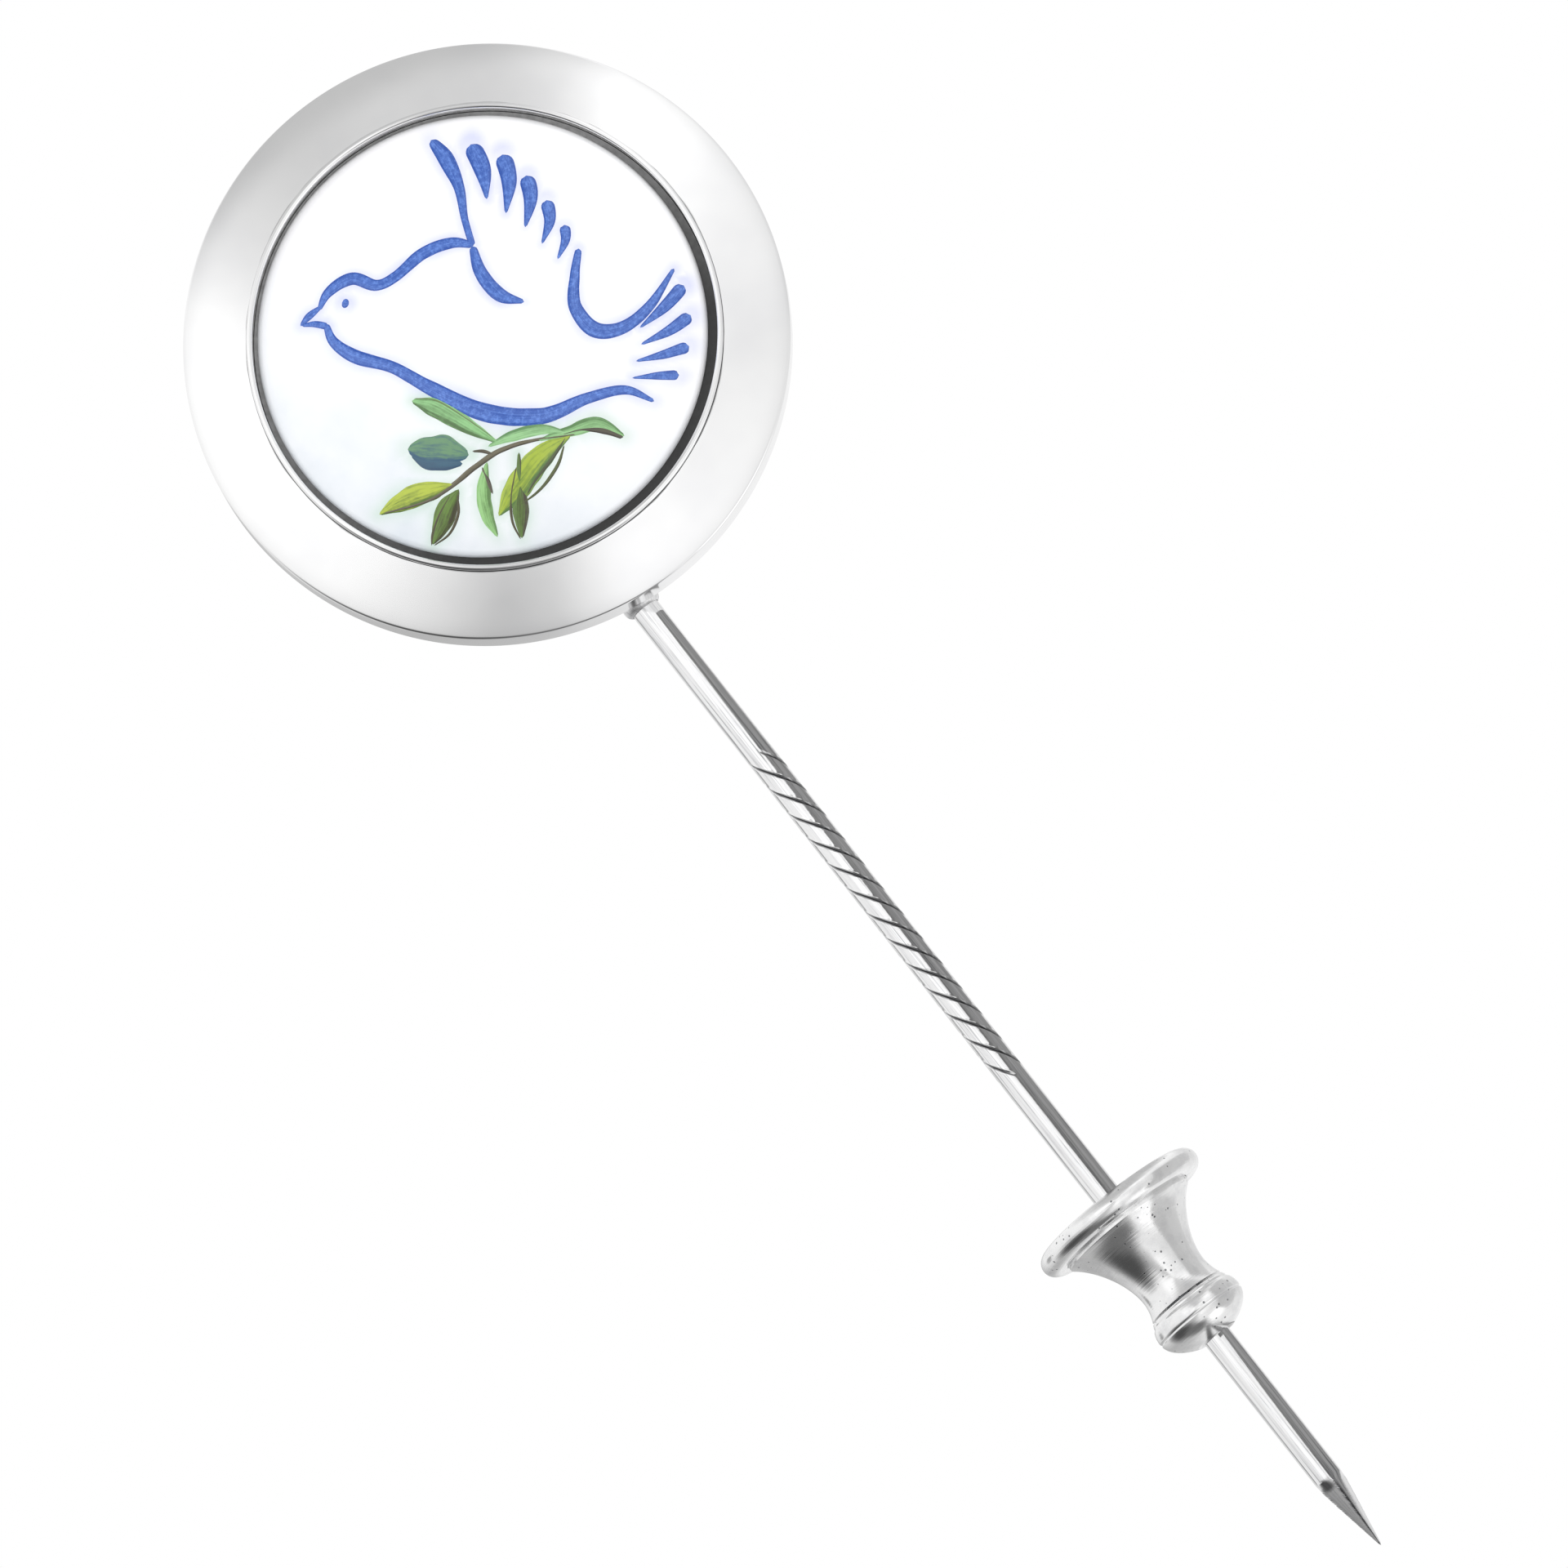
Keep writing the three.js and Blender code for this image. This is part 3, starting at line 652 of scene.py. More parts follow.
def stand_card(name, plan, bottom, top, cut_back):
    """A pleated grey card, lit evenly, that throws no light or shade of its own.

    Its pleats and its tone spread out towards the back by a power, as if it were deeper."""
    back, front, deep, power, near, far = plan
    deselect()
    bpy.ops.mesh.primitive_grid_add(
        x_subdivisions=1, y_subdivisions=12, size=1, location=(0, 0, 0))
    card = named(bpy.context.object, name)

    def spread(co):
        across, height = co.x + 0.5, co.y + 0.5
        place = Vector(back).lerp(Vector(front), across * (1 - cut_back * height ** 2))
        return STEM_FOOT + Vector((place.x, place.y, bottom + height * (top - bottom))) * MM

    shape(card, spread)
    material, tree = new_material(name + "_paper")
    place = add(tree, "ShaderNodeSeparateXYZ", links={0: object_place(tree)}).outputs["Y"]
    behind = STEM_FOOT.y + back[1] * MM
    forward = remap(tree, place, behind, STEM_FOOT.y + front[1] * MM, 0.0, 1.0)
    reach = add(tree, "ShaderNodeMath", {1: power}, {0: forward}, operation="POWER").outputs[0]
    depth = add(tree, "ShaderNodeMath", {0: 1.0}, {1: reach}, operation="SUBTRACT").outputs[0]
    unfolded = remap(tree, reach, 0.0, 1.0, behind, behind - deep * MM)
    pleats = add(tree, "ShaderNodeTexNoise", {
        "Scale": 1 / (PLEAT_MM * MM), "Detail": 3.0, "Roughness": 0.7}, {"W": unfolded},
        noise_dimensions="1D").outputs[0]
    share = combine(tree, depth, remap(tree, pleats, 0.4, 0.6, -0.5, 0.5), use_clamp=True)
    glow = add(tree, "ShaderNodeEmission", {"Strength": 1.0}, {"Color": cover(tree, share, near, far)})
    add(tree, "ShaderNodeOutputMaterial", links={"Surface": glow.outputs[0]})
    card.data.materials.append(material)
    card.visible_camera = card.visible_diffuse = False
    card.visible_shadow = card.visible_transmission = False


def studio_sky(white):
    world = bpy.data.worlds.new("white_room")
    bpy.context.scene.world = world
    world.use_nodes = True
    tree = world.node_tree
    tree.nodes.clear()
    direction = add(tree, "ShaderNodeTexCoord").outputs["Generated"]
    tone = card_tone(tree, direction)
    room = add(tree, "ShaderNodeBackground", {"Strength": white}, {"Color": tone})
    seen = add(tree, "ShaderNodeBackground", {"Strength": 1.0, "Color": (1, 1, 1, 1)})
    path = add(tree, "ShaderNodeLightPath")
    sky = add(tree, "ShaderNodeMixShader", links={
        0: path.outputs["Is Camera Ray"], 1: room.outputs[0], 2: seen.outputs[0]})
    add(tree, "ShaderNodeOutputWorld", links={"Surface": sky.outputs[0]})


def camera_axes():
    """Right, up and forward of the camera. The face is tilted from it, it stands below
    the face, and the whole pin is turned so that the stem slants to the lower right."""
    roll, tilt, towards = radians(38.19), radians(10.5), radians(110)
    across, up = Vector((cos(roll), 0, -sin(roll))), Vector((sin(roll), 0, cos(roll)))
    forward = Vector((0, cos(tilt), 0)) + sin(tilt) * (cos(towards) * across + sin(towards) * up)
    right = (across - forward * across.dot(forward)).normalized()
    return right, right.cross(forward), forward


class HATPIN_OT_studio(Operator):
    """Sets up the pale floor, the white room, the soft key light and the camera"""
    bl_idname = "hatpin.studio"
    bl_label = "Studio"

    def execute(self, context):
        studio = context.scene.hatpin_studio
        deselect()
        bpy.ops.mesh.primitive_plane_add(size=8, location=(0, 0, -studio.floor_drop))
        floor = named(context.object, "studio_floor")
        settle(floor, floor.matrix_world.copy())
        floor.data.materials.append(
            matt_floor_paint("matt_studio_paint", context.scene.hatpin_colours.floor))
        floor.visible_glossy = False

        studio_sky(studio.white)
        for card in STANDING_CARDS:
            stand_card(*card)
        context.scene.view_settings.view_transform = "Standard"

        right, top, forward = camera_axes()
        target = Vector((-1.57, 0, -21.91)) * MM
        bpy.ops.object.camera_add()
        camera = context.object
        camera.name = "studio_camera"
        camera.matrix_world = Matrix.Translation(target - forward * studio.distance) @ Matrix(
            (right, top, -forward)).transposed().to_4x4()
        camera.data.sensor_width = 36
        camera.data.lens = studio.lens
        camera.data.clip_start = 0.01
        context.scene.camera = camera

        bpy.ops.object.light_add(type="AREA", location=target + Vector((-0.25, -0.6, 0.45)))
        key = context.object
        key.name = "soft_key"
        key.data.shape = "DISK"
        key.data.size = 0.5
        key.data.energy = studio.key_power
        key.rotation_euler = (target - key.location).to_track_quat("-Z", "Y").to_euler()
        key.visible_glossy = False
        return {"FINISHED"}


# ---- Head ------------------------------------------------------------------------

class HATPIN_OT_silver_head(Operator):
    """Turns the frame's rim, the collar round the plaque and the back plate"""
    bl_idname = "hatpin.silver_head"
    bl_label = "Silver head"

    def execute(self, context):
        head = context.scene.hatpin_head
        colours = context.scene.hatpin_colours
        polished = spun_silver("spun_polished_silver", colours, 0.13, seam_mm=COLLAR_HIGH.x / MM)
        burnished = spun_silver("burnished_silver_collar", colours, 0.09)
        satin = spun_silver("satin_spun_silver", colours, 0.3, 0.12, 0.02)

        # the frame's face falls in a shallow curve to a rounded edge
        outer, inner = RIM_HIGH.x / MM, COLLAR_HIGH.x / MM + 0.02
        top, depth = -RIM_LOW.y / MM, 1.55
        edge, wall = head.rim_edge / MM, head.rim_wall / MM
        fall = top - depth
        bend = inner + (outer - inner) * 0.55
        shoulder = arc((outer - edge, depth - edge), edge, 68, 0, 10)
        outline = curve((inner, top), (bend, top - fall * 0.3), shoulder[0], steps=40) + shoulder[1:]
        outline += [(outer, 0.05), (outer - 0.05, 0), (outer - wall, 0), (outer - wall, depth - wall)]
        outline += curve((outer - wall, depth - wall), (bend, top - fall * 0.3 - wall),
                         (inner, top - wall), steps=12)[1:]
        rim = lathe("silver_rim", outline, HEAD_PLACE, head.sides)
        dress(rim, polished, "pin", "polished_silver", "rim_frame")

        # the collar's lip is rounded over and stands proud of the frame
        low, high = -COLLAR_HIGH.y / MM, -COLLAR_LOW.y / MM
        outside = COLLAR_HIGH.x / MM
        inside = outside - 0.24
        lip = (outside - inside) / 2
        outline = [(inside, low), (outside, low), (outside, high - lip)]
        outline += arc((inside + lip, high - lip), lip, 0, 180, 16)[1:]
        collar = lathe("silver_collar", outline, HEAD_PLACE, head.sides)
        dress(collar, burnished, "pin", "polished_silver", "bezel_collar")

        # the plate that closes the back, its edges broken with a file
        radius, low, high = PLATE_HIGH.x / MM, -PLATE_HIGH.y / MM, -PLATE_LOW.y / MM
        outline = [(0, low)] + span((0, low), (radius - 0.08, low), 10) + [(radius - 0.08, low)]
        outline += [(radius - 0.02, low + 0.02), (radius, low + 0.08), (radius, high), (0, high)]
        plate = lathe("silver_back_plate", outline, HEAD_PLACE, head.sides)
        dress(plate, satin, "pin", "polished_silver", "back_plate")
        return {"FINISHED"}


def glaze_height(radius):
    """Height of the plaque's face above the back, in millimetres, at a distance from its middle."""
    head = bpy.context.scene.hatpin_head
    flat = PLAQUE_HIGH.x / MM - head.plaque_round / MM
    edge_top = -PLAQUE_HIGH.y / MM + head.plaque_edge / MM
    rise = -PLAQUE_LOW.y / MM - edge_top
    return edge_top + rise * (1 - (radius / flat) ** 2)


def on_glaze(right, up, lift=0.0):
    """The place in the frame of a point of the painting, in millimetres from its middle."""
    height = glaze_height(hypot(right, up)) + lift
    return ASIDE + (ART_RIGHT * right + ART_UP * up) * MM + Vector((0, -height * MM, 0))


# ---- The painting: each mark is a list of (right, up, width), in millimetres ---------

DOVE = [
    # crown, nape and back up to the shoulder
    [(-6.7, 1.0, 0.16), (-6.3, 1.75, 0.4), (-5.35, 2.3, 0.52), (-4.35, 2.0, 0.46), (-3.55, 2.35, 0.42),
     (-2.45, 3.3, 0.5), (-1.3, 3.75, 0.46), (-0.35, 3.65, 0.26)],
    # beak
    [(-6.6, 1.15, 0.14), (-7.1, 0.75, 0.3), (-7.45, 0.35, 0.1)],
    [(-7.4, 0.36, 0.1), (-6.85, 0.42, 0.26), (-6.3, 0.3, 0.3)],
    # throat, breast and belly, out to the tail's lower edge
    [(-6.4, 0.42, 0.24), (-6.05, -0.35, 0.42), (-5.1, -1.0, 0.56), (-3.6, -1.45, 0.48),
     (-2.0, -2.35, 0.58), (0.2, -3.35, 0.74), (2.5, -3.5, 0.66), (4.4, -2.75, 0.46),
     (5.9, -2.4, 0.38), (7.1, -2.85, 0.14)],
    # front edge of the raised wing
    [(-0.4, 3.6, 0.28), (-0.75, 4.8, 0.3), (-1.0, 6.1, 0.44), (-1.55, 7.3, 0.66), (-2.2, 8.15, 0.36)],
    # flight feathers, each laid from its round end inwards
    [(-0.55, 7.95, 0.74), (-0.05, 6.85, 0.68), (0.15, 5.6, 0.1)],
    [(0.75, 7.5, 0.72), (1.05, 6.4, 0.64), (0.95, 5.0, 0.1)],
    [(1.75, 6.6, 0.66), (1.95, 5.6, 0.56), (1.75, 4.4, 0.1)],
    [(2.6, 5.55, 0.58), (2.75, 4.7, 0.46), (2.45, 3.7, 0.08)],
    [(3.35, 4.5, 0.48), (3.4, 3.85, 0.36), (3.1, 3.05, 0.08)],
    # rear edge of the wing, rump and the tail's upper edge
    [(3.95, 3.5, 0.26), (3.8, 2.3, 0.4), (3.85, 1.05, 0.54), (4.65, 0.1, 0.64), (5.8, 0.2, 0.52),
     (6.9, 1.15, 0.4), (7.85, 2.7, 0.14)],
    # shoulder line of the near wing
    [(-0.4, 3.6, 0.3), (-0.05, 2.5, 0.52), (0.75, 1.55, 0.56), (1.75, 1.25, 0.16)],
    # fan of the tail
    [(8.25, 2.0, 0.56), (7.5, 1.1, 0.46), (6.5, 0.2, 0.08)],
    [(8.55, 0.75, 0.54), (7.7, 0.1, 0.42), (6.55, -0.5, 0.08)],
    [(8.5, -0.55, 0.5), (7.5, -0.9, 0.36), (6.35, -1.2, 0.08)],
    [(8.1, -1.75, 0.42), (7.2, -1.8, 0.3), (6.2, -1.9, 0.06)],
    # eye
    [(-5.74, 1.3, 0.4), (-5.46, 1.22, 0.36)],
]

# each mark with its light and its dark colour
RIB, BARK = ("4A4426", "35301C"), ("5A5546", "3F3A2C")
SPRIG = [
    ([(0.75, -4.6, 0.1), (-0.5, -3.9, 0.72), (-1.8, -3.15, 0.9), (-2.8, -2.85, 0.2)],
     "8CC382", "4A6E3C"),
    ([(-1.1, -6.3, 0.1), (-2.1, -6.6, 0.95), (-3.2, -7.0, 0.9), (-4.1, -7.5, 0.1)], "B0C03C", "4E6A24"),
    ([(0.3, -5.4, 0.1), (0.15, -6.5, 0.62), (0.35, -7.6, 0.6), (0.75, -8.45, 0.1)], "93C57E", "557C40"),
    ([(-0.85, -6.5, 0.1), (-1.25, -7.2, 0.9), (-1.55, -8.0, 0.8), (-1.9, -8.75, 0.1)],
     "5D7E2C", "37361A"),
    ([(1.6, -5.0, 0.1), (1.65, -6.2, 0.4), (1.7, -7.4, 0.72), (1.75, -8.5, 0.16)], "5A7834", "352E1A"),
    ([(3.7, -4.3, 0.12), (2.6, -5.1, 1.0), (1.5, -6.5, 1.15), (0.8, -7.6, 0.12)], "A3B83A", "4C7032"),
    ([(2.4, -4.5, 0.1), (3.6, -4.15, 0.5), (4.8, -3.8, 0.62), (5.9, -4.3, 0.12)], "90C384", "55804A"),
    ([(0.35, -4.75, 0.1), (1.4, -4.3, 0.5), (2.6, -4.05, 0.46), (3.6, -4.2, 0.1)], "98C98E", "5C8A55"),
]
TWIG = [
    ([(5.85, -4.35, 0.2), (5.1, -4.1, 0.3), (4.2, -4.05, 0.18), (3.4, -4.25, 0.1)], "4E4A3A", "37332A"),
    ([(3.9, -4.25, 0.08), (2.2, -4.5, 0.16), (0.9, -4.9, 0.24), (-0.2, -5.6, 0.26),
      (-1.1, -6.35, 0.22), (-2.2, -7.0, 0.14), (-3.9, -7.45, 0.1)], "6A6450", "3F3A2C"),
    ([(0.6, -5.1, 0.08), (0.15, -4.95, 0.16), (-0.3, -4.95, 0.08)], *BARK),
    ([(3.5, -4.4, 0.1), (2.9, -5.3, 0.2), (2.3, -6.1, 0.14), (1.95, -6.7, 0.06)], "4C5A34", "2E2C1C"),
    ([(0.1, -5.6, 0.08), (0.35, -6.2, 0.2), (0.55, -6.7, 0.08)], *BARK),
    ([(-0.9, -6.7, 0.05), (-0.86, -7.5, 0.13), (-1.2, -8.3, 0.12), (-1.85, -8.8, 0.05)], *RIB),
    ([(-1.2, -6.75, 0.05), (-1.62, -7.5, 0.1), (-1.9, -8.3, 0.12), (-1.95, -8.8, 0.05)], *RIB),
    ([(3.45, -4.7, 0.06), (3.15, -5.6, 0.16), (2.45, -6.55, 0.13), (1.6, -7.2, 0.04)],
     "4F5A2C", "3A3A1E"),
    ([(0.5, -4.35, 0.04), (-0.7, -3.5, 0.09), (-1.8, -2.85, 0.1), (-2.7, -2.75, 0.05)],
     "6F8A55", "4F6B3E"),
    ([(1.5, -5.6, 0.05), (1.3, -6.8, 0.12), (1.35, -7.8, 0.12), (1.7, -8.55, 0.05)], *RIB),
]
FRUIT = [
    ([(-0.45, -5.1, 0.42), (-1.3, -4.95, 1.28), (-2.1, -4.9, 1.3), (-2.95, -4.85, 0.5)],
     "638E68", "2E5670"),
    ([(-0.7, -5.45, 0.2), (-1.4, -5.5, 0.5), (-2.2, -5.45, 0.46), (-2.8, -5.1, 0.12)],
     "2F5A72", "2A4A66"),
]


def smooth_path(points, steps):
    """Even samples of a smooth path through points of any size."""
    knots = [Vector(p) for p in points]
    knots = [2 * knots[0] - knots[1], *knots, 2 * knots[-1] - knots[-2]]
    dense = []
    for a, b, c, d in zip(knots, knots[1:], knots[2:], knots[3:]):
        for i in range(24):
            t = i / 24
            dense.append(0.5 * (2 * b + (c - a) * t + (2 * a - 5 * b + 4 * c - d) * t * t
                                + (3 * b - a - 3 * c + d) * t ** 3))
    dense.append(knots[-2])
    reach = [0.0]
    for a, b in zip(dense, dense[1:]):
        reach.append(reach[-1] + hypot(b[0] - a[0], b[1] - a[1]))
    samples, spot = [], 0
    for i in range(steps + 1):
        wanted = reach[-1] * i / steps
        while spot < len(dense) - 2 and reach[spot + 1] < wanted:
            spot += 1
        share = (wanted - reach[spot]) / max(reach[spot + 1] - reach[spot], 1e-9)
        samples.append(dense[spot].lerp(dense[spot + 1], min(max(share, 0), 1)))
    return samples, reach[-1]


def brush_mark(name, points, order, wobble=0.05, weight=1.0):
    """One stroke of a loaded brush: a low crowned ribbon with round ends, lying on the dome."""
    lift = bpy.context.scene.hatpin_head.enamel_lift / MM
    guess = smooth_path(points, 8)[1]
    points = [(r, u, width * weight) for r, u, width in points]
    along, across = max(12, int(guess / 0.09)), 9
    path, reach = smooth_path(points, along)
    deselect()
    bpy.ops.mesh.primitive_grid_add(
        x_subdivisions=along, y_subdivisions=across, size=1, location=(0, 0, 0))
    mark = named(bpy.context.object, name)

    def lay(co):
        u, v = co.x + 0.5, 2 * co.y
        index = round(u * along)
        here = path[index]
        ahead, behind = path[min(index + 1, along)], path[max(index - 1, 0)]
        course = Vector((ahead[0] - behind[0], ahead[1] - behind[1]))
        course = course.normalized() if course.length else Vector((1, 0))
        half = here[2] / 2
        gone = u * reach
        cap = max(min(half, reach / 2), 1e-6)
        near_end = min(gone, reach - gone)
        if near_end < cap:
            half *= sqrt(max(1 - (1 - near_end / cap) ** 2, 0.0))
        half *= 1 + wobble * noise.noise(Vector((gone * 1.7, order * 3.1, v * 0.6 + 5)))
        side = Vector((-course.y, course.x)) * (v * half)
        rise = lift * (1 + 0.05 * order / 20) * (1 - v * v) ** 0.5 - 0.004
        return on_glaze(here[0] + side.x, here[1] + side.y, rise)

    shape(mark, lay)
    return mark


def join(marks, name):
    deselect()
    for mark in marks:
        mark.select_set(True)
    bpy.context.view_layer.objects.active = marks[0]
    bpy.ops.object.join()
    joined = named(bpy.context.object, name)
    choose(joined)
    bpy.ops.object.mode_set(mode="EDIT")
    bpy.ops.mesh.select_all(action="SELECT")
    bpy.ops.mesh.dissolve_degenerate(threshold=WELD)
    bpy.ops.object.mode_set(mode="OBJECT")
    for face in joined.data.polygons:
        if face.normal.y > 0:
            face.flip()
    bpy.ops.object.shade_smooth()
    return joined


def tint(mark, light, dark):
    for layer, value in (("light_tone", light), ("dark_tone", dark)):
        tones = mark.data.color_attributes.new(layer, "FLOAT_COLOR", "POINT")
        tones.data.foreach_set("color", list(linear(value)) * len(mark.data.vertices))


def bleed(plaque, attribute, strokes, reach_mm, strength):
    """How much colour the kiln has drawn from the strokes into the glaze at each vertex."""
    samples = []
    for points in strokes:
        path, _ = smooth_path(points, max(10, int(smooth_path(points, 8)[1] / 0.1)))
        samples += path
    tree = kdtree.KDTree(len(samples))
    for i, sample in enumerate(samples):
        tree.insert((sample[0], sample[1], 0), i)
    tree.balance()
    values = []
    for vertex in plaque.data.vertices:
        local = vertex.co - ASIDE
        flat = (local.dot(ART_RIGHT) / MM, local.dot(ART_UP) / MM, 0)
        _, index, distance = tree.find(flat)
        outside = max(distance - samples[index][2] / 2, 0) / reach_mm
        spread = 0.75 + 0.5 * noise.noise(Vector(flat) * 0.9)
        values.append(strength * max(1 - outside, 0) ** 2 * spread)
    layer = plaque.data.attributes.new(attribute, "FLOAT", "POINT")
    layer.data.foreach_set("value", values)


class HATPIN_OT_plaque(Operator):
    """Turns the domed porcelain plaque and tints the glaze beside the strokes"""
    bl_idname = "hatpin.plaque"
    bl_label = "Porcelain plaque"

    def execute(self, context):
        head = context.scene.hatpin_head
        radius, base = PLAQUE_HIGH.x / MM, -PLAQUE_HIGH.y / MM
        edge_round = head.plaque_round / MM
        edge_top = base + head.plaque_edge / MM
        flat = radius - edge_round
        outline = [(0, base), (radius - 0.1, base), (radius, base + 0.1)]
        outline += [(radius, edge_top - edge_round)]
        outline += arc((flat, edge_top - edge_round), edge_round, 0, 90, 10)[1:]
        rings = 76
        radii = [flat * (1 - i / rings) for i in range(1, rings + 1)]
        outline += [(at, glaze_height(at)) for at in radii]
        set_aside = Matrix.Translation(ASIDE) @ HEAD_PLACE
        plaque = lathe("domed_plaque", outline, set_aside, head.plaque_sides)
        bleed(plaque, "cobalt_bleed", DOVE, 0.75, 0.6)
        bleed(plaque, "leaf_bleed", [m[0] for m in SPRIG + FRUIT], 0.8, 0.7)
        dress(plaque, glazed_porcelain("glazed_porcelain", context.scene.hatpin_colours),
              "pin", "glazed_porcelain", "porcelain_plaque")

        # the cement under the plaque has been squeezed up into the groove round it
        low, high = -BED_HIGH.y / MM, -BED_LOW.y / MM
        outline = [(0, low), (BED_HIGH.x / MM, low), (BED_HIGH.x / MM, high + 0.95)]
        outline += curve((BED_HIGH.x / MM, high + 0.95), (BED_HIGH.x / MM - 0.12, high + 0.78),
                         (radius - 0.25, high + 0.86), steps=6)[1:]
        outline += [(radius - 0.25, high), (0, high)]
        bed = lathe("setting_cement", outline, HEAD_PLACE, head.cement_sides)
        dress(bed, bone_cement("dark_setting_cement"), "pin", "cement", "plaque_cement_bed")
        return {"FINISHED"}


class HATPIN_OT_dove(Operator):
    """Paints the dove on the plaque, stroke by stroke"""
    bl_idname = "hatpin.dove"
    bl_label = "Painted dove"

    def execute(self, context):
        colours = context.scene.hatpin_colours
        marks = [brush_mark("dove_stroke_%d" % order, points, order, weight=1.14)
                 for order, points in enumerate(DOVE)]
        dove = join(marks, "painted_dove")
        enamel = brushed_enamel("cobalt_china_paint", colours.cobalt_full, colours.cobalt_thin)
        dress(dove, enamel, "pin", "glazed_porcelain")
        return {"FINISHED"}


class HATPIN_OT_olive_sprig(Operator):
    """Paints the olive sprig below the dove: leaves, then the fruit, then the twig"""
    bl_idname = "hatpin.olive_sprig"
    bl_label = "Painted olive sprig"

    def execute(self, context):
        marks = []
        for order, (points, light, dark) in enumerate(SPRIG + FRUIT + TWIG):
            mark = brush_mark("sprig_mark_%d" % order, points, 4 + 3 * order, wobble=0.16)
            tint(mark, light, dark)
            marks.append(mark)
        dress(join(marks, "painted_olive_sprig"), leaf_enamel("leaf_china_paint"),
              "pin", "glazed_porcelain")
        return {"FINISHED"}


# ---- Stem ------------------------------------------------------------------------

class HATPIN_OT_stem(Operator):
    """Draws the wire, cuts the twisted grooves and files the point"""
    bl_idname = "hatpin.stem"
    bl_label = "Twisted stem"

    def execute(self, context):
        stem = context.scene.hatpin_stem
        radius = (STEM_HIGH.x - STEM_LOW.x) / 2
        top, tip = -STEM_HIGH.z, -STEM_LOW.z
        start, end = stem.twist_start, stem.twist_start + stem.twist_length
        taper_start = tip - stem.point_length
        deselect()
        bpy.ops.mesh.primitive_circle_add(vertices=stem.sides, radius=radius, location=(0, 0, top))
        wire = named(context.object, "drawn_stem")
        settle(wire, wire.matrix_world.copy())
        screw_up(wire, -tau * (tip - top) / stem.twist_pitch, tip - top, stem.rings)
        spacing = tau / stem.grooves
        ridge = radians(80)           # one edge of the four-sided point faces the front
        lead_in, burr_width, burr_height = 0.5 * MM, 0.04 * MM, 0.009 * MM
        tip_share = 0.015             # the part of the point that is rounded off

        def work(co):
            along, angle = co.z, atan2(co.y, co.x)
            size = radius
            if start < along < end:
                turned = -tau * (along - start) / stem.twist_pitch
                off = (angle - turned + spacing / 2) % spacing - spacing / 2
                off_arc = abs(off) * radius
                near_end = min(along - start, end - along)
                deep = min(1.0, near_end / lead_in) ** 0.6
                cut = 2.0 ** -((2 * off_arc / stem.groove_width) ** 2)
                burr = 2.0 ** -(((off_arc - stem.groove_width * 1.15) / burr_width) ** 2)
                size += deep * (burr_height * burr * (1 if off < 0 else 0.4) - stem.groove_depth * cut)
            if along > taper_start:
                share = (along - taper_start) / stem.point_length
                size = radius + (stem.point_radius - radius) * share ** 1.06
                flat = (angle - ridge + pi / 4) % (pi / 2) - pi / 4
                size *= 1 + min(share * 9, 1.0) * (0.78 / cos(pi / 4 - abs(flat)) - 1) * 0.9
                into_tip = share - (1 - tip_share)
                if into_tip > 0:
                    size *= sqrt(max(1 - (into_tip / tip_share) ** 2, 0.0)) * 0.9 + 0.1
            slow = 1 + 0.006 * noise.noise(Vector((along / MM * 0.5, 1.3, 0.7)))
            if size == radius:
                size *= min(slow, 1.0)
            return Vector((size * cos(angle), size * sin(angle), along))

        shape(wire, work)

        def tarnish(co):
            """How dark the surface is coloured: tarnish in the grooves, and darker down the point's
            front edge.
            """
            if start < co.z < end:
                return min(max(1 - (hypot(co.x, co.y) / radius - 0.9) / 0.09, 0), 1)
            # down the point's front edge the surface is coloured darker
            share = (co.z - taper_start) / stem.point_length
            if share < 0.05:
                return 0
            off = abs(atan2(co.y, co.x) - ridge) / (0.11 + 0.2 * share)
            return max(1 - off ** 2, 0) * min((share - 0.05) * 8, 1)

        groove = wire.data.attributes.new("groove", "FLOAT", "POINT")
        groove.data.foreach_set("value", [tarnish(v.co) for v in wire.data.vertices])
        tidy_mesh(wire, 22)
        settle(wire, STEM_PLACE)
        dress(wire, drawn_silver("drawn_silver_wire", context.scene.hatpin_colours),
              "pin", "silver_wire", "stem")
        return {"FINISHED"}


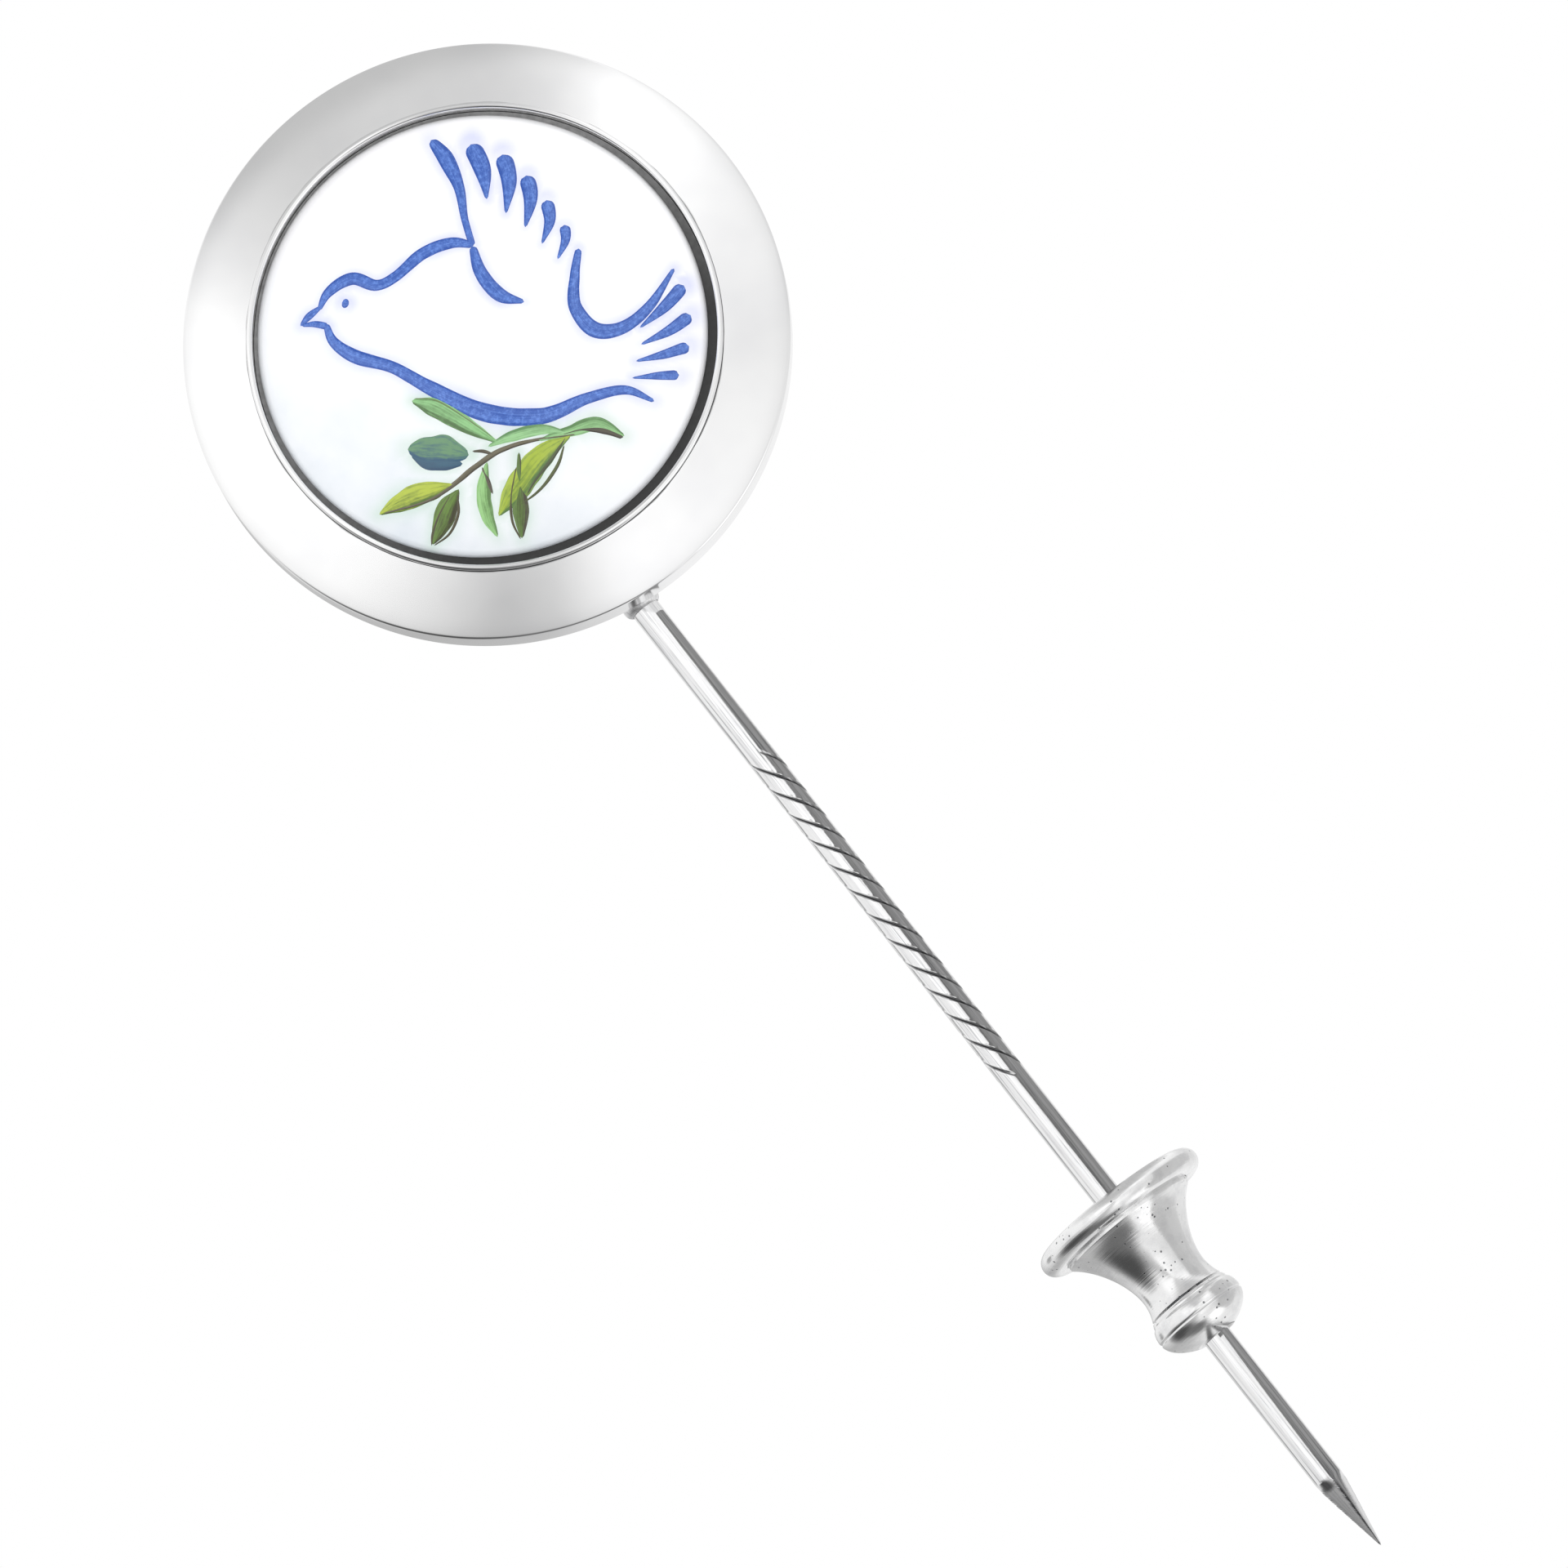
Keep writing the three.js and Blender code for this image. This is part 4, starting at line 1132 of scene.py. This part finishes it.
class HATPIN_OT_ferrule(Operator):
    """Turns the closed ferrule over the wire's end and runs the solder along it"""
    bl_idname = "hatpin.ferrule"
    bl_label = "Ferrule and solder"

    def execute(self, context):
        outer = half_width(FERRULE_LOW, FERRULE_HIGH)
        top, end = -FERRULE_HIGH.z / MM, -FERRULE_LOW.z / MM - 0.1      # its end is filed back a hair
        wall, cap, corner = 0.2, 0.5, 0.15
        inner, floor = outer - wall, top + cap
        outline = [(0, top), (outer - corner, top)]
        outline += arc((outer - corner, top + corner), corner, -90, 0, 6)[1:]
        outline += span((outer, top + corner), (outer, end - 0.3), 12)
        outline += curve((outer, end - 0.3), (outer - 0.01, end - 0.08), (inner + 0.04, end - 0.01),
                         (inner + 0.02, end), steps=10)
        outline += [(inner, end - 0.03), (inner, floor), (0, floor)]
        ferrule = lathe("ferrule_tube", outline, STEM_PLACE, 96)
        dress(ferrule, drawn_silver("drawn_silver_tube", context.scene.hatpin_colours, 0.4, 0.0),
              "pin", "silver_wire", "stem_ferrule")

        # the solder has run up both sides of the ferrule and out into a thin skirt
        middle = (SADDLE_LOW + SADDLE_HIGH) / 2
        size = SADDLE_HIGH - SADDLE_LOW
        deselect()
        bpy.ops.mesh.primitive_cube_add(size=1, location=(0, 0, 0))
        fillet = named(context.object, "solder_fillet")
        bpy.ops.object.mode_set(mode="EDIT")
        bpy.ops.mesh.select_all(action="SELECT")
        bpy.ops.mesh.subdivide(number_cuts=40)
        bpy.ops.object.mode_set(mode="OBJECT")
        base = SADDLE_LOW.y

        def run(co):
            across, up, along = 2 * co.x, co.y + 0.5, 2 * co.z
            ripple = 1 + 0.07 * noise.noise(Vector((along * 3.3, across * 1.5, 0.4)))
            round_end = sqrt(max(1 - abs(along) ** 5, 0.0))
            width = size.x / 2 * (0.35 + 0.65 * round_end) * ripple
            crown = (1 - min(abs(across), 1.0) ** 1.7) * round_end
            height = size.y * min(crown * 1.25 + 0.03, 1.0)
            return Vector((middle.x + across * width, base + up * height,
                           middle.z + along * size.z / 2))

        shape(fillet, run)
        tidy_mesh(fillet, 60)
        dress(fillet, soft_solder("run_solder"), "pin", "solder", "solder_saddle")
        return {"FINISHED"}


# ---- Clutch ----------------------------------------------------------------------

class HATPIN_OT_clutch_shell(Operator):
    """Turns the clutch's flange cap and the trumpet-shaped shell under it"""
    bl_idname = "hatpin.clutch_shell"
    bl_label = "Clutch shell"

    def execute(self, context):
        clutch = context.scene.hatpin_clutch
        colours = context.scene.hatpin_colours
        bore, mouth, neck = clutch.bore / MM, clutch.mouth / MM, clutch.neck / MM
        cast = cast_silver("burnished_cast_silver", colours)

        # a shallow cup, its rim rolled over on the lathe
        wide = half_width(FLANGE_LOW, FLANGE_HIGH)
        roll = (FLANGE_HIGH.z - FLANGE_LOW.z) / 2 / MM
        outline = [(bore, 0.06), (bore + 0.06, 0)]
        outline += curve((bore + 0.06, 0), (wide - roll - 0.5, 0.0), (wide - roll, 0), steps=14)[1:]
        outline += arc((wide - roll, roll), roll, -90, 90, 24)[1:]
        outline += [(mouth + 0.06, 2 * roll), (mouth + 0.02, 2 * roll - 0.05), (mouth + 0.02, 0.4),
                    (bore, 0.4)]
        flange = lathe("flange_cap", outline, CLUTCH_PLACE, clutch.sides)
        dress(flange, cast, "clutch_shell", "polished_silver", "clutch_flange_cap")

        # the flare runs in one sweep from the mouth to the neck
        top, end = (FLANGE_HIGH.z - SHELL_HIGH.z) / MM, (FLANGE_HIGH.z - SHELL_LOW.z) / MM
        mouth_end, neck_place, last = 2 * roll + 0.2, 4.05, neck + 0.2
        flare, below = neck_place - mouth_end, end - neck_place
        # inside are a chamber for the works, a narrower passage and a lip that keeps them in
        chamber, chamber_end, passage, lip, lip_height = 1.856, 2.22, 1.18, 0.94, 0.22
        outline = [(chamber, top), (mouth, top), (mouth, mouth_end - 0.04), (mouth - 0.04, mouth_end)]
        outline += curve((mouth - 0.04, mouth_end), ((mouth + neck) / 2, mouth_end + flare * 0.19),
                         (neck, neck_place - flare * 0.37), (neck, neck_place), steps=40)[1:]
        outline += curve((neck, neck_place), (neck, neck_place + below * 0.4),
                         (last - 0.08, end - below * 0.2), (last, end - 0.02), steps=12)[1:]
        outline += [(last - 0.03, end), (lip, end), (lip, end - lip_height),
                    (passage, end - lip_height), (passage, chamber_end), (chamber, chamber_end)]
        trumpet = lathe("trumpet_shell", outline, CLUTCH_PLACE, clutch.sides)
        dress(trumpet, cast, "clutch_shell", "cast_silver", "clutch_trumpet_shell")
        return {"FINISHED"}


class HATPIN_OT_pull_bead(Operator):
    """Turns the bead that is pulled to let go of the wire"""
    bl_idname = "hatpin.pull_bead"
    bl_label = "Pull bead"

    def execute(self, context):
        clutch = context.scene.hatpin_clutch
        bore = clutch.bore / MM
        wide = half_width(BEAD_LOW, BEAD_HIGH)
        top, end = (FLANGE_HIGH.z - BEAD_HIGH.z) / MM, (FLANGE_HIGH.z - BEAD_LOW.z) / MM
        size = end - top
        collar, last, socket = clutch.neck / MM + 0.26, bore + 0.24, 0.9
        tube_end = top + 1.35
        outline = [(socket, top), (collar - 0.05, top)]
        outline += curve((collar - 0.05, top), (collar, top), (collar, top + 0.05), steps=4)[1:]
        outline += curve((collar, top + 0.05), (wide, top + size * 0.2), (wide, top + size * 0.4),
                         steps=30)[1:]
        outline += curve((wide, top + size * 0.4), (wide, top + size * 0.7),
                         ((wide + last) / 2, end - size * 0.12), (last, end), steps=44)[1:]
        outline += curve((last, end), (last - 0.12, end), (bore, end - 0.2), steps=6)[1:]
        outline += [(bore, tube_end + 0.02), (socket, tube_end + 0.02)]

        outside_from = 1.4            # anything further out is the bead's outside

        def scored(radius, height):
            """The radius less two turned lines, each (place, depth, half its width)."""
            if radius > outside_from:
                for place, depth, half in ((0.86, 0.055, 0.035), (0.2, 0.04, 0.05)):
                    radius -= depth * (2.0 ** -(((height - top - place) / half) ** 2))
            return radius, height

        outline = [scored(*point) for point in outline]
        bead = lathe("pull_bead", outline, CLUTCH_PLACE, clutch.sides)
        dress(bead, cast_silver("burnished_cast_bead", context.scene.hatpin_colours, 0.16),
              "plunger", "cast_silver", "pull_knob")
        return {"FINISHED"}


class HATPIN_OT_clutch_works(Operator):
    """Makes the parts inside the clutch: balls, spring, and finishes for cone, cage and washer"""
    bl_idname = "hatpin.clutch_works"
    bl_label = "Clutch works"

    def execute(self, context):
        clutch = context.scene.hatpin_clutch
        ground = hardened_steel("ground_hardened_steel", "B7BABD", "8F9397", 0.05)
        for node_name in ("grip_cone", "ball_carrier", "spring_seat_washer"):
            refinish(node_name, ground)

        bearing = hardened_steel("lapped_ball_steel", "C9CCCF", "AEB2B6", 0.03)
        for i in range(1, 4):
            low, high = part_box("grip_ball_%d" % i)
            radius = (high.z - low.z) / 2
            deselect()
            bpy.ops.mesh.primitive_ico_sphere_add(
                subdivisions=4, radius=radius, location=(low + high) / 2)
            ball = named(context.object, "bearing_ball_%d" % i)
            settle(ball, ball.matrix_world.copy())
            tidy_mesh(ball, 60)
            dress(ball, bearing, "ball_%d" % i, "steel", "grip_ball_%d" % i)

        # one turn of the wire's section, screwed up into the whole coil
        wire = clutch.spring_wire
        coil = (SPRING_HIGH.x - SPRING_LOW.x) / 2 - wire
        top, end = FLANGE_HIGH.z - SPRING_HIGH.z, FLANGE_HIGH.z - SPRING_LOW.z
        deselect()
        bpy.ops.mesh.primitive_circle_add(
            vertices=14, radius=wire, location=(coil, 0, top + wire), rotation=(pi / 2, 0, 0))
        spring = named(context.object, "coil_spring")
        settle(spring, spring.matrix_world.copy())
        screw_up(spring, -tau * clutch.spring_turns, end - top - 2 * wire, 40 * clutch.spring_turns)
        tidy_mesh(spring, 60)
        settle(spring, CLUTCH_PLACE)
        dress(spring, hardened_steel("drawn_spring_steel", "A9ADB1", "7E8287", 0.04),
              "clutch_core", "steel", "clutch_spring")
        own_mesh(spring)
        return {"FINISHED"}


# ---- Panel and registration --------------------------------------------------------

STEPS = [
    HATPIN_OT_studio,
    HATPIN_OT_silver_head,
    HATPIN_OT_plaque,
    HATPIN_OT_dove,
    HATPIN_OT_olive_sprig,
    HATPIN_OT_stem,
    HATPIN_OT_ferrule,
    HATPIN_OT_clutch_shell,
    HATPIN_OT_pull_bead,
    HATPIN_OT_clutch_works,
]
GROUPS = {
    "hatpin_head": HatPinHead,
    "hatpin_stem": HatPinStem,
    "hatpin_clutch": HatPinClutch,
    "hatpin_colours": HatPinColours,
    "hatpin_studio": HatPinStudio,
}


class HATPIN_PT_panel(Panel):
    """Lists the pin's pieces and their settings"""
    bl_idname = "HATPIN_PT_panel"
    bl_label = "Hat Pin"
    bl_space_type = "VIEW_3D"
    bl_region_type = "UI"
    bl_category = "Hat Pin"

    def draw(self, context):
        layout = self.layout
        for step in STEPS:
            layout.operator(step.bl_idname)
        for attribute, group in GROUPS.items():
            box = layout.box()
            box.label(text=attribute.replace("hatpin_", "").capitalize())
            for key in group.__annotations__:
                box.prop(getattr(context.scene, attribute), key)


def register():
    for group in GROUPS.values():
        bpy.utils.register_class(group)
    for attribute, group in GROUPS.items():
        setattr(bpy.types.Scene, attribute, PointerProperty(type=group))
    for item in [*STEPS, HATPIN_PT_panel]:
        bpy.utils.register_class(item)


def unregister():
    for item in reversed([*STEPS, HATPIN_PT_panel]):
        bpy.utils.unregister_class(item)
    for attribute in GROUPS:
        delattr(bpy.types.Scene, attribute)
    for group in reversed(GROUPS.values()):
        bpy.utils.unregister_class(group)


def main():
    register()
    for step in STEPS:
        area, name = step.bl_idname.split(".")
        getattr(getattr(bpy.ops, area), name)()


if __name__ == "__main__":
    main()
